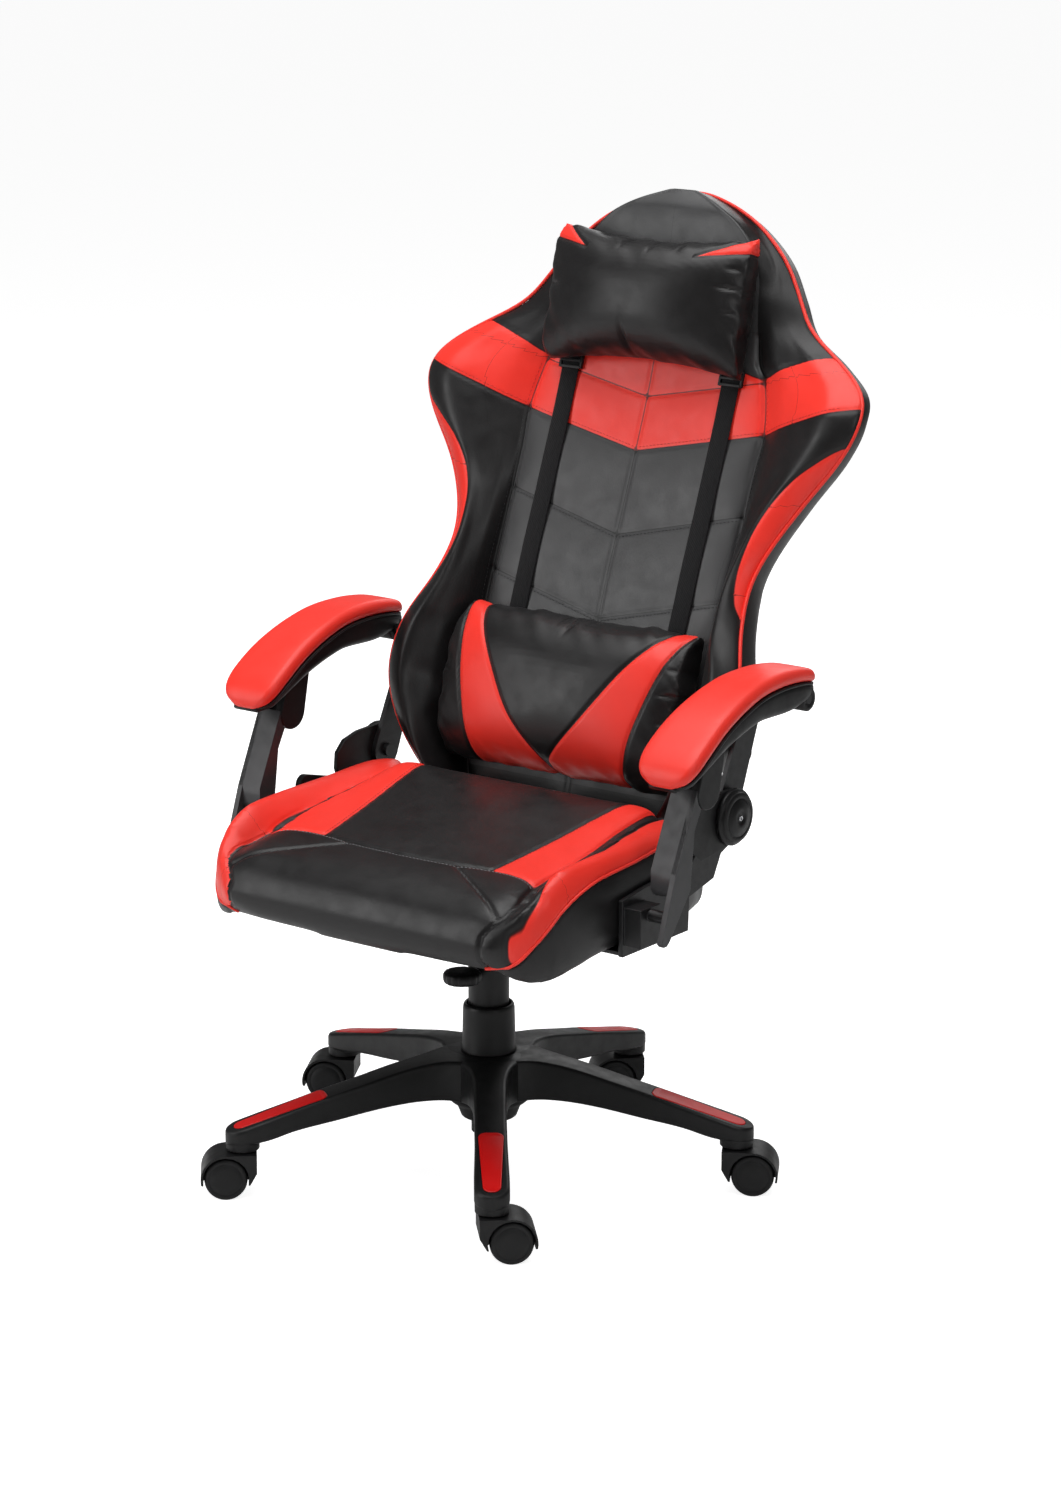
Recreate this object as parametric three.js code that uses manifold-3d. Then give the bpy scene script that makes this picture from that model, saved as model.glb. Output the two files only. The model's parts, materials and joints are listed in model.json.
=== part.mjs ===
// A swivel gaming chair on a five-star base: twin-wheel casters, a gas lift, a rocking mechanism,
// a bucket seat and a reclining back whose armrests are carried by a parallelogram linkage.
// Millimetres, +Z up, the sitter faces -Y. The origin is on the floor, under the middle of the box.
import * as THREE from "three";
import { mergeVertices } from "three/addons/utils/BufferGeometryUtils.js";
import Module from "manifold-3d";

const wasm = await Module();
wasm.setup();

// ---- Driving dimensions, in a frame whose origin is on the floor under the swivel column ----
const COLUMN_Y = -64; // the column stands this far in front of the middle of the box
const GAP = 0.4; // clearance between pieces that touch

const BASE_ARMS = 5;
const FIRST_ARM_ANGLE = 38.2; // degrees from -Y towards +X
const CASTER_R = 300;
const TIP_HALF_WIDTH = 20;
const BASE_TOP = 142;
const HUB_BORE_R = 21.3;
const INSERT_SLOPE = 14.84; // degrees that the arm's top falls towards its tip
const INSERT_DEPTH = 2.6;

const WHEEL_SEGMENTS = 20;
const WHEEL_R = 25;
const AXLE_Z = WHEEL_R * Math.cos(Math.PI / WHEEL_SEGMENTS); // a facet rests on the floor
const AXLE_R = 2.8;
const CASTER_TRAIL = 20;
const CASTER_TOP = 54;
const STEM_R = 5.5;
// Direction of each caster's trail, in degrees from +X, as the chair was last rolled
const CASTER_HEADINGS = [43, 31, 222, 210, 221];

const CYLINDER_R = 21;
const PISTON_R = 14;
const COVER_LOWER = { bottom: BASE_TOP + GAP, top: 200, outer: 29.8, wall: 2.2 };
const COVER_UPPER = { bottom: 111, top: 250, outer: 24, wall: 2 };

const PLATE_X = 253; // inner face of the recliner's lower plates
const PLATE_T = 6;
const HINGE = { y: 118, z: 442 };
const BACK_TILT = 18; // degrees from the vertical
const ARM_X = 300; // centre of each armrest
const POST_FOOT = { y: -72, z: 375 };
const ARM_REAR = { y: 178, z: 577 };
// The fourth pivot closes a parallelogram, so the armrest stays level as the back reclines
const ARM_FRONT = {
  y: POST_FOOT.y + ARM_REAR.y - HINGE.y,
  z: POST_FOOT.z + ARM_REAR.z - HINGE.z,
};

// ---- Materials ----
const finish = (color, roughness, metalness = 0) =>
  new THREE.MeshStandardMaterial({ color, roughness, metalness });
const MATERIALS = {
  nylon: finish(0x1b1b1c, 0.5),
  redPlastic: finish(0xd8201a, 0.35),
  blackLeather: finish(0x232325, 0.45),
  redLeather: finish(0xf0382c, 0.42),
  steel: finish(0x2a2a2c, 0.4, 0.6),
  chrome: finish(0xb8bcc0, 0.2, 1),
  rubber: finish(0x1d1d1e, 0.6),
  webbing: finish(0x1f1f20, 0.85),
  board: finish(0x8a6a45, 0.8),
};

// ---- Geometry helpers ----
const rad = THREE.MathUtils.degToRad;

function solidOf(geometry) {
  const bare = new THREE.BufferGeometry();
  bare.setAttribute("position", geometry.getAttribute("position"));
  bare.setIndex(geometry.index);
  const merged = mergeVertices(bare, 1e-3);
  return new wasm.Manifold(
    new wasm.Mesh({
      numProp: 3,
      vertProperties: merged.attributes.position.array,
      triVerts: new Uint32Array(merged.index.array),
    }),
  );
}

function geometryOf(solid) {
  const mesh = solid.getMesh();
  const geometry = new THREE.BufferGeometry();
  geometry.setAttribute("position", new THREE.BufferAttribute(mesh.vertProperties, 3));
  geometry.setIndex(new THREE.BufferAttribute(mesh.triVerts, 1));
  return geometry;
}

const join = (first, ...rest) =>
  geometryOf(rest.reduce((sum, other) => sum.add(solidOf(other)), solidOf(first)));
const cut = (first, ...rest) =>
  geometryOf(rest.reduce((left, other) => left.subtract(solidOf(other)), solidOf(first)));

// A smooth function through [position, value] pairs, with Catmull-Rom tangents, held flat past its ends.
function through(pairs) {
  const slope = pairs.map((_, i) => {
    const a = pairs[Math.max(i - 1, 0)];
    const b = pairs[Math.min(i + 1, pairs.length - 1)];
    return (b[1] - a[1]) / (b[0] - a[0]);
  });
  return (at) => {
    const t = THREE.MathUtils.clamp(at, pairs[0][0], pairs[pairs.length - 1][0]);
    const i = Math.max(pairs.findIndex((pair) => pair[0] >= t) - 1, 0);
    const span = pairs[i + 1][0] - pairs[i][0];
    const u = (t - pairs[i][0]) / span;
    return (
      pairs[i][1] * (1 + 2 * u) * (1 - u) ** 2 +
      slope[i] * span * u * (1 - u) ** 2 +
      pairs[i + 1][1] * u * u * (3 - 2 * u) +
      slope[i + 1] * span * u * u * (u - 1)
    );
  };
}

// A closed solid through rings of equal length, with a flat fan over each end.
function loft(rings) {
  const n = rings[0].length;
  const points = rings.flat();
  const index = [];
  for (let r = 0; r + 1 < rings.length; r++) {
    for (let i = 0; i < n; i++) {
      const a = r * n + i;
      const b = r * n + ((i + 1) % n);
      index.push(a, b, b + n, a, b + n, a + n);
    }
  }
  [0, rings.length - 1].forEach((r, end) => {
    const middle = new THREE.Vector3();
    rings[r].forEach((point) => middle.addScaledVector(point, 1 / n));
    points.push(middle);
    for (let i = 0; i < n; i++) {
      const a = r * n + i;
      const b = r * n + ((i + 1) % n);
      index.push(points.length - 1, ...(end ? [a, b] : [b, a]));
    }
  });
  const geometry = new THREE.BufferGeometry().setFromPoints(points);
  geometry.setIndex(index);
  return facingOut(geometry);
}

// Turns every face round if the closed geometry's signed volume is negative.
function facingOut(geometry) {
  const [a, b, c] = [new THREE.Vector3(), new THREE.Vector3(), new THREE.Vector3()];
  const position = geometry.getAttribute("position");
  const index = geometry.index.array;
  let volume = 0;
  for (let i = 0; i < index.length; i += 3) {
    a.fromBufferAttribute(position, index[i]);
    b.fromBufferAttribute(position, index[i + 1]);
    c.fromBufferAttribute(position, index[i + 2]);
    volume += a.dot(b.cross(c));
  }
  if (volume < 0) {
    for (let i = 0; i < index.length; i += 3) {
      [index[i + 1], index[i + 2]] = [index[i + 2], index[i + 1]];
    }
  }
  return geometry;
}

const box = (w, d, h, x, y, z) => new THREE.BoxGeometry(w, d, h).translate(x, y, z);

// A cylinder along +X from x0 to x1, through (y, z)
const barX = (radius, x0, x1, y, z, segments = 20) =>
  new THREE.CylinderGeometry(radius, radius, x1 - x0, segments)
    .rotateZ(Math.PI / 2)
    .translate((x0 + x1) / 2, y, z);
// A cylinder along +Z from z0 to z1, through (x, y)
const barZ = (radius, z0, z1, x = 0, y = 0, segments = 20) =>
  new THREE.CylinderGeometry(radius, radius, z1 - z0, segments)
    .rotateX(Math.PI / 2)
    .translate(x, y, (z0 + z1) / 2);
// [radius, height] pairs turned about +Z
const turned = (pairs, segments = 24) =>
  new THREE.LatheGeometry(pairs.map(([r, h]) => new THREE.Vector2(r, h)), segments).rotateX(
    Math.PI / 2,
  );
// A closed outline in the YZ plane, extruded along X from x0 to x1
const slab = (outline, x0, x1, curveSegments = 5) =>
  new THREE.ExtrudeGeometry(outline, {
    depth: x1 - x0,
    bevelEnabled: false,
    curveSegments,
  })
    .rotateX(Math.PI / 2)
    .rotateZ(Math.PI / 2)
    .translate(x0, 0, 0);

function polygon(pairs) {
  return new THREE.Shape(pairs.map(([a, b]) => new THREE.Vector2(a, b)));
}

// The outline round two circles of different radius, as a link or a lever has
function linkOutline(a, ra, b, rb) {
  const heading = Math.atan2(b.z - a.z, b.y - a.y);
  const spread = Math.acos((ra - rb) / Math.hypot(b.y - a.y, b.z - a.z));
  const shape = new THREE.Shape();
  shape.absarc(a.y, a.z, ra, heading + spread, heading - spread + 2 * Math.PI, false);
  shape.absarc(b.y, b.z, rb, heading - spread, heading + spread, false);
  return shape;
}

// A rounded rectangle ring of 4 * (steps + 1) points, a along one vector and b along another
function roundedRing(centre, across, up, halfA, halfB, radius, steps = 2) {
  const ring = [];
  const corners = [[1, 1], [-1, 1], [-1, -1], [1, -1]];
  corners.forEach(([sa, sb], quarter) => {
    for (let i = 0; i <= steps; i++) {
      const angle = ((quarter + i / steps) * Math.PI) / 2;
      const a = sa * (halfA - radius) + radius * Math.cos(angle);
      const b = sb * (halfB - radius) + radius * Math.sin(angle);
      ring.push(centre.clone().addScaledVector(across, a).addScaledVector(up, b));
    }
  });
  return ring;
}

const chair = new THREE.Group();
chair.position.y = COLUMN_Y;

function piece(name, geometry, material, parent = chair) {
  const mesh = new THREE.Mesh(geometry, material);
  mesh.name = name;
  parent.add(mesh);
  return mesh;
}

// ---- Five-star base ----
const armTop = through([
  [20, 141.5], [60, 140.5], [90, 136.5], [120, 130.5], [163, 119.8], [200, 110.8], [260, 94.9], [320, 79],
]);
const armBottom = through([
  [20, 86], [55, 92], [100, 92], [140, 88.5], [190, 81], [240, 74], [275, 66], [320, 62],
]);
const armHalfWidth = through([[20, 28], [60, 23], [120, 19], [200, 18.5], [280, 20]]);

function baseArm() {
  const rings = [];
  const across = new THREE.Vector3(0, 1, 0);
  const up = new THREE.Vector3(0, 0, 1);
  const nose = [0.45, 0.75, 0.96].map((s) => CASTER_R + TIP_HALF_WIDTH * s);
  [10, 50, 100, 150, 200, 250, CASTER_R, ...nose].forEach((r) => {
    const past = Math.max((r - CASTER_R) / TIP_HALF_WIDTH, 0);
    const half = armHalfWidth(r) * Math.sqrt(1 - past * past);
    const centre = new THREE.Vector3(r, 0, (armTop(r) + armBottom(r)) / 2);
    const halfHeight = (armTop(r) - armBottom(r)) / 2;
    rings.push(roundedRing(centre, across, up, half, halfHeight, Math.min(5, half * 0.8), 1));
  });
  const socket = turned([[0, CASTER_TOP + 1], [19, CASTER_TOP + 1], [19, 75], [0, 75]], 16);
  return join(loft(rings), socket.translate(CASTER_R, 0, 0));
}

// Outline of a red inlay, from its wide inner end to its narrow tip end, grown by a margin
function insertGeometry(margin, depth) {
  const [inner, tip, halfInner, halfTip, corner] = [-58, 56, 14, 9.5, 8];
  const shape = new THREE.Shape();
  shape.absarc(tip - halfTip, 0, halfTip + margin, -Math.PI / 2, Math.PI / 2, false);
  shape.absarc(inner + corner, halfInner - corner, corner + margin, Math.PI / 2, Math.PI, false);
  shape.absarc(inner + corner, corner - halfInner, corner + margin, Math.PI, 1.5 * Math.PI, false);
  return new THREE.ExtrudeGeometry(shape, { depth, bevelEnabled: false, curveSegments: 3 });
}
const onArm = (geometry, lift) => {
  const middle = 256;
  return geometry
    .translate(0, 0, lift)
    .rotateY(rad(INSERT_SLOPE))
    .translate(middle, 0, armTop(middle));
};

function starBase() {
  const hub = turned([
    [0, 62], [32, 62], [38, 76], [50, 86], [53, 126], [44, 138], [36, BASE_TOP], [0, BASE_TOP],
  ], 25);
  let star = solidOf(hub);
  for (let i = 0; i < BASE_ARMS; i++) {
    const arm = baseArm();
    const recess = onArm(insertGeometry(GAP, 12), -INSERT_DEPTH - GAP);
    const socket = barZ(STEM_R + GAP, CASTER_TOP - 2, 74, CASTER_R, 0, 12);
    const finished = cut(arm, recess, socket).rotateZ(armAngle(i));
    star = star.add(solidOf(finished));
  }
  const coverRoom = barZ(COVER_UPPER.outer + GAP, COVER_UPPER.bottom - GAP, 170, 0, 0, 24);
  return cut(geometryOf(star), barZ(HUB_BORE_R, 40, 170, 0, 0, 24), coverRoom);
}
// The arm's direction as an angle from +X
const armAngle = (i) => rad(FIRST_ARM_ANGLE + (360 / BASE_ARMS) * i - 90);

piece("star_base", starBase(), MATERIALS.nylon);
for (let i = 0; i < BASE_ARMS; i++) {
  const inlay = onArm(insertGeometry(0, INSERT_DEPTH + 0.3), -INSERT_DEPTH);
  piece(`arm_insert_${i + 1}`, inlay, MATERIALS.redPlastic).rotation.z = armAngle(i);
}

// ---- Casters: each in its own frame, trail along +Y, axle along X, stem axis on Z ----
function casterHood() {
  const shape = new THREE.Shape();
  shape.moveTo(-8, 18);
  shape.lineTo(-16, 32);
  shape.lineTo(-16, CASTER_TOP);
  shape.lineTo(8, CASTER_TOP);
  shape.absarc(CASTER_TRAIL, AXLE_Z, 29.2, rad(98), rad(-12), true);
  shape.lineTo(CASTER_TRAIL + 12, 16);
  const outer = slab(shape, -25, 25, 6);
  const wheelRoom = [-1, 1].map((side) =>
    barX(WHEEL_R + 2, side < 0 ? -30 : 5, side < 0 ? -5 : 30, CASTER_TRAIL, AXLE_Z, 20),
  );
  const stemBore = barZ(STEM_R + GAP, 36, 70, 0, 0, 12);
  const axleBore = barX(AXLE_R + GAP, -30, 30, CASTER_TRAIL, AXLE_Z, 12);
  return cut(outer, ...wheelRoom, stemBore, axleBore);
}
function casterWheel(side) {
  const profile = [
    [0, 21], [AXLE_R + GAP, 21], [AXLE_R + GAP, 6.2], [23.5, 6.2], [WHEEL_R, 8.5],
    [WHEEL_R, 21.5], [22, 24.2], [0, 25.4],
  ];
  return turned(profile, WHEEL_SEGMENTS)
    .rotateZ(Math.PI / WHEEL_SEGMENTS)
    .rotateY(side * (Math.PI / 2))
    .translate(0, CASTER_TRAIL, AXLE_Z);
}
function casterStem() {
  return turned([[0, 38], [4.6, 38], [STEM_R, 39], [STEM_R, 72], [4.2, 73.4], [0, 73.4]], 12);
}

for (let i = 0; i < BASE_ARMS; i++) {
  const caster = new THREE.Group();
  caster.position.set(CASTER_R * Math.cos(armAngle(i)), CASTER_R * Math.sin(armAngle(i)), 0);
  caster.rotation.z = rad(CASTER_HEADINGS[i] - 90);
  chair.add(caster);
  const number = i + 1;
  piece(`caster_stem_${number}`, casterStem(), MATERIALS.chrome, caster);
  piece(`caster_hood_${number}`, casterHood(), MATERIALS.nylon, caster);
  piece(
    `caster_axle_${number}`,
    barX(AXLE_R, -20.5, 20.5, CASTER_TRAIL, AXLE_Z, 12),
    MATERIALS.chrome,
    caster,
  );
  piece(`caster_wheel_${number}_right`, casterWheel(1), MATERIALS.rubber, caster);
  piece(`caster_wheel_${number}_left`, casterWheel(-1), MATERIALS.rubber, caster);
}

// ---- Gas lift and its two telescopic covers ----
const tube = (bottom, top, outer, inner) =>
  turned([[inner, bottom], [outer, bottom], [outer, top], [inner, top], [inner, bottom]]);

const cylinder = cut(barZ(CYLINDER_R, 42, 188, 0, 0, 24), barZ(PISTON_R + GAP, 56, 190));
piece("gas_cylinder", cylinder, MATERIALS.steel);
const piston = turned([[0, 60], [PISTON_R, 60], [PISTON_R, 260], [12.5, 293], [0, 293]]);
piece("gas_piston", piston, MATERIALS.chrome);
const { bottom: lowFrom, top: lowTo, outer: lowR, wall: lowWall } = COVER_LOWER;
const lowerCover = turned([
  [lowR - lowWall, lowFrom], [lowR + 1.5, lowFrom], [lowR, lowTo - 4], [lowR - 1.5, lowTo],
  [lowR - lowWall - 1.5, lowTo], [lowR - lowWall, lowFrom],
]);
piece("lift_cover_lower", lowerCover, MATERIALS.nylon);
const upperCover = tube(
  COVER_UPPER.bottom, COVER_UPPER.top, COVER_UPPER.outer, COVER_UPPER.outer - COVER_UPPER.wall,
);
// A ring inside the top of the upper cover grips the piston
piece(
  "lift_cover_upper",
  join(upperCover, tube(COVER_UPPER.top - 4, COVER_UPPER.top, COVER_UPPER.outer - 1, PISTON_R + GAP)),
  MATERIALS.nylon,
);

// ---- Rocking mechanism under the seat ----
const ROCK = { y: -42, z: 312 }; // axis on which the seat rocks back
const LEVER = { y: 22, z: 292 };
function mechanismHousing() {
  const side = polygon([[-78, 308], [-70, 268], [-30, 256], [34, 256], [62, 280], [66, 308]]);
  const rockBearing = barX(10, -42, 42, ROCK.y, ROCK.z - 12, 16);
  const springBay = polygon([[-66, 320], [-58, 274], [-32, 274], [-32, 320]]);
  const leverBay = polygon([[14, 320], [14, 281], [50, 281], [56, 300], [56, 320]]);
  const pistonSeat = turned([
    [0, 245], [PISTON_R + 0.6, 245], [PISTON_R + 0.6, 260], [12.8, 297], [0, 297],
  ]);
  return cut(
    join(slab(side, -42, 42), barZ(24, 254, 290), rockBearing),
    slab(springBay, -34, 34),
    slab(leverBay, -34, 34),
    pistonSeat,
    box(17, 36, 30, 0, 4, 308.2), // room for the cam's finger over the piston
    barX(6.6, -60, -30, LEVER.y + 12, LEVER.z, 12),
    barZ(4.6, 245, 280, 0, -50, 12),
    barX(6 + GAP, -60, 60, ROCK.y, ROCK.z, 16),
    box(100, 24, 20, 0, ROCK.y, ROCK.z + 8),
  );
}
piece("mechanism_housing", mechanismHousing(), MATERIALS.steel);
// Hand wheel that sets the rocking spring, on a spindle through the housing's floor
const knobRim = turned(
  [[0, 230], [17, 230], [22, 234], [23, 246], [20, 251], [4.2, 251], [4.2, 278], [0, 278]], 20,
);
piece("tension_knob", knobRim.translate(0, -50, 0), MATERIALS.nylon);
// Cam that presses the gas valve, turned by the lever that slides through it
const cam = join(
  barX(9, -28, 28, LEVER.y + 12, LEVER.z, 16),
  box(16, 26, 4, 0, LEVER.y - 4, LEVER.z + 7),
);
piece("actuator_cam", cut(cam, barX(4.6, -40, -4, LEVER.y + 12, LEVER.z, 12)), MATERIALS.steel);
// The handle is set behind the rod, so lifting it turns the rod and presses the cam down on the valve
function heightLever() {
  const rod = barX(4.2, -216, -8, LEVER.y + 12, LEVER.z, 12);
  const handle = [
    [-204, 0, 6, 5], [-218, 4, 9, 6], [-240, 10, 16, 5], [-262, 14, 17, 4], [-270, 14, 12, 3],
  ];
  const rings = handle.map(([x, back, half, thick]) =>
    roundedRing(
      new THREE.Vector3(x, LEVER.y + 12 + back, LEVER.z),
      new THREE.Vector3(0, 1, 0),
      new THREE.Vector3(0, 0, 1),
      half, thick, thick * 0.8,
    ),
  );
  return join(rod, loft(rings));
}
piece("height_lever", heightLever(), MATERIALS.nylon);

// ---- Seat: bracket, board, cushion and the recliner's lower plates ----
const SEAT_FLOOR = 338;
const EAR_X = 46.5;
function seatBracket() {
  const top = box(150, 190, 5, 0, -5, SEAT_FLOOR - 3);
  const earOutline = linkOutline(ROCK, 13, { y: ROCK.y + 6, z: ROCK.z + 16 }, 9);
  const ears = [-1, 1].map((side) =>
    slab(earOutline, side * EAR_X - 2.5, side * EAR_X + 2.5),
  );
  const pin = barX(6, -49, 49, ROCK.y, ROCK.z, 16);
  return join(top, ...ears, pin);
}
piece("seat_bracket", seatBracket(), MATERIALS.steel);
const SEAT_BOARD = { w: 380, d: 290, t: 12, y: -50 };
piece(
  "seat_board",
  box(SEAT_BOARD.w, SEAT_BOARD.d, SEAT_BOARD.t, 0, SEAT_BOARD.y, SEAT_FLOOR + SEAT_BOARD.t / 2),
  MATERIALS.board,
);

// Profiles along y: the outline, then heights of the seat's underside, side panel, piping and top
const seatHalfWidth = through([
  [-243, 196], [-225, 222], [-190, 240], [-110, 248], [-20, 249], [60, 242], [100, 230],
]);
const seatUnder = through([[-243, 343], [-232, 331], [-212, 331], [-190, SEAT_FLOOR], [100, SEAT_FLOOR]]);
const seatSkirt = through([[-243, 346], [-225, 322], [-200, 318], [-150, 326], [-100, 333], [100, 333]]);
const seatPiping = through([
  [-243, 362], [-232, 368], [-177, 387], [-103, 400], [-28, 411], [49, 425], [100, 430],
]);
const seatCrest = through([
  [-243, 376], [-232, 400], [-197, 423], [-165, 439], [-110, 443], [-58, 443], [0, 444], [60, 446],
  [85, 440], [100, 422],
]);
const seatGroove = through([
  [-243, 370], [-232, 384], [-200, 398], [-157, 408], [-100, 422], [-40, 430], [0, 436], [50, 441],
  [84, 434], [100, 412],
]);
const seatCrown = through([
  [-243, 376], [-236, 396], [-215, 407], [-170, 416], [-120, 423], [-40, 436], [20, 447], [66, 452],
  [84, 442], [92, 428], [100, 416],
]);
// How far inside the outline the groove between the bolster and the middle runs
const seatInset = through([
  [-243, 12], [-225, 22], [-205, 33], [-180, 45], [-157, 51], [-60, 54], [0, 56], [80, 48], [100, 44],
]);

function seatRing(y) {
  const half = seatHalfWidth(y);
  const inset = seatInset(y);
  const right = [
    [half - 34, seatUnder(y)],
    [half - 22, seatSkirt(y)],
    [half - 8, seatSkirt(y)],
    [half - 1, seatSkirt(y) + 10],
    [half, seatPiping(y)],
    [half - 0.2 * inset, (seatPiping(y) + 2 * seatCrest(y)) / 3],
    [half - 0.5 * inset, seatCrest(y)],
    [half - 0.82 * inset, (seatGroove(y) + seatCrest(y)) / 2],
    [half - inset, seatGroove(y)],
    [half - inset - 12, seatCrown(y) - 2],
    [half - inset - 76, seatCrown(y)],
  ];
  const left = [...right].reverse().map(([x, z]) => [-x, z]);
  return [...right, ...left].map(([x, z]) => new THREE.Vector3(x, y, z));
}
function seatCushion() {
  const stations = [-243, -238, -228, -212, -190, -160, -120, -70, -20, 30, 66, 84, 93, 100];
  const room = box(
    SEAT_BOARD.w + 2 * GAP, SEAT_BOARD.d + 2 * GAP, 40, 0, SEAT_BOARD.y,
    SEAT_FLOOR + SEAT_BOARD.t + GAP - 20,
  );
  return cut(loft(stations.map(seatRing)), room);
}
piece("seat_cushion", seatCushion(), MATERIALS.redLeather);

// One steel plate a side, from the recliner's pivot forward to the foot of the arm post
function reclinerPlate(side) {
  const shape = new THREE.Shape();
  shape.absarc(HINGE.y, HINGE.z, 31, rad(140), rad(-50), true);
  [[98, 403], [84, 377], [36, 366], [34, 327], [-94, 327], [-94, 392], [-52, 398], [40, 406]].forEach(
    ([y, z]) => shape.lineTo(y, z),
  );
  const plate = slab(shape, PLATE_X, PLATE_X + PLATE_T, 6);
  const cranked = polygon([
    [327, PLATE_X + 2], [332, PLATE_X + 2], [332, 208], [337.5, 208],
    [337.5, 84], [332.5, 84], [332.5, 203],
    [327, 203],
  ]);
  const feet = [14, -74].map((y) =>
    new THREE.ExtrudeGeometry(cranked, { depth: 34, bevelEnabled: false })
      .applyMatrix4(new THREE.Matrix4().set(0, 1, 0, 0, 0, 0, 1, y - 17, 1, 0, 0, 0, 0, 0, 0, 1)),
  );
  const arm = box(281.5 - PLATE_X, 38, 44, (281.5 + PLATE_X) / 2, POST_FOOT.y, 362);
  const stub = barX(7, PLATE_X, ARM_X + 10, POST_FOOT.y, POST_FOOT.z, 16);
  const made = cut(
    join(plate, ...feet, arm, stub),
    barX(8 + GAP, PLATE_X - 10, PLATE_X + 20, HINGE.y, HINGE.z, 20),
  );
  return side > 0 ? made : mirrored(made);
}
// The same geometry on the other side of the YZ plane
const mirrored = (geometry) => facingOut(geometry.clone().scale(-1, 1, 1));

const SIDES = [["left", 1], ["right", -1]];
for (const [name, side] of SIDES) {
  piece(`recliner_plate_${name}`, reclinerPlate(side), MATERIALS.steel);
  const dome = turned([[0, 0], [33, 0], [33, 5], [30, 10], [24, 13], [0, 14]], 28)
    .rotateY(Math.PI / 2)
    .translate(PLATE_X + PLATE_T + GAP, HINGE.y, HINGE.z);
  piece(`hinge_cover_${name}`, side > 0 ? dome : mirrored(dome), MATERIALS.nylon);
}
// Lever that frees the recliner, on the sitter's right
const RECLINE_LEVER = { y: 66, z: 404 };
function reclineLever() {
  const outline = linkOutline(RECLINE_LEVER, 11, { y: -16, z: 424 }, 12);
  return join(
    slab(outline, -(PLATE_X + 15), -(PLATE_X + PLATE_T + 1)),
    barX(10, -(PLATE_X + 22), -(PLATE_X + PLATE_T + GAP), RECLINE_LEVER.y, RECLINE_LEVER.z, 16),
  );
}
piece("recline_lever", reclineLever(), MATERIALS.nylon);

// ---- Back: built upright about the recline axis, then tilted ----
// In the back's own frame, z runs up the back from the hinge axis and +y points to the rear.
const back = new THREE.Group();
back.position.set(0, HINGE.y, HINGE.z);
back.rotation.x = -rad(BACK_TILT);
chair.add(back);

const BACK_BOTTOM = -22;
const BACK_TOP = 720;
const backHalfWidth = through([
  [-22, 176], [0, 196], [38, 222], [85, 244], [120, 249], [160, 244], [215, 224], [266, 216],
  [310, 226], [366, 255], [425, 296], [466, 311], [500, 302], [535, 258], [566, 208], [606, 180],
  [650, 149], [685, 108], [706, 66], [720, 22],
]);
const backFace = through([
  [-22, 38], [110, 35], [232, 35], [323, 41], [405, 46], [478, 49], [556, 47], [637, 40], [695, 32],
  [720, 44],
]);
// How far the rim stands in front of the face, and the crest of the bolster beyond that
const rimForward = through([
  [-22, 30], [40, 52], [110, 54], [173, 46], [225, 30], [295, 14], [366, 8], [466, 18], [514, 4],
  [566, -12], [640, -24], [720, -34],
]);
const crestForward = through([
  [-22, 22], [60, 20], [150, 20], [240, 22], [330, 20], [430, 20], [500, 16], [566, 6], [640, 4],
  [720, 2],
]);
const rimThick = through([
  [-22, 40], [60, 56], [200, 58], [300, 46], [466, 34], [566, 36], [695, 34], [720, 14],
]);
const backDepth = through([[-22, 42], [40, 66], [300, 70], [500, 66], [640, 58], [703, 44], [720, 16]]);

function backRing(v) {
  const half = backHalfWidth(v);
  const face = backFace(v);
  const rim = face - rimForward(v);
  const crest = rim - crestForward(v);
  const panel = Math.min(half * 0.86, half - 30, 171);
  const inner = Math.max(panel, half * 0.55);
  const front = [
    [inner * 0.5, face], [inner, face - 1], [(inner + half) / 2 - 4, (face + crest) / 2 - 4],
    [half * 0.9 - 4, crest], [half - 4, rim - crestForward(v) * 0.45], [half, rim + 6],
  ];
  const rear = [
    [half - 5, rim + rimThick(v) * 0.7], [half - 20, rim + rimThick(v)],
    [half * 0.6, face + backDepth(v) * 0.92], [half * 0.25, face + backDepth(v)],
  ];
  const right = [...front, ...rear];
  const left = [...right].reverse().map(([x, y]) => [-x, y]);
  return [...right, ...left].map(([x, y]) => new THREE.Vector3(x, y, v));
}

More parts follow.
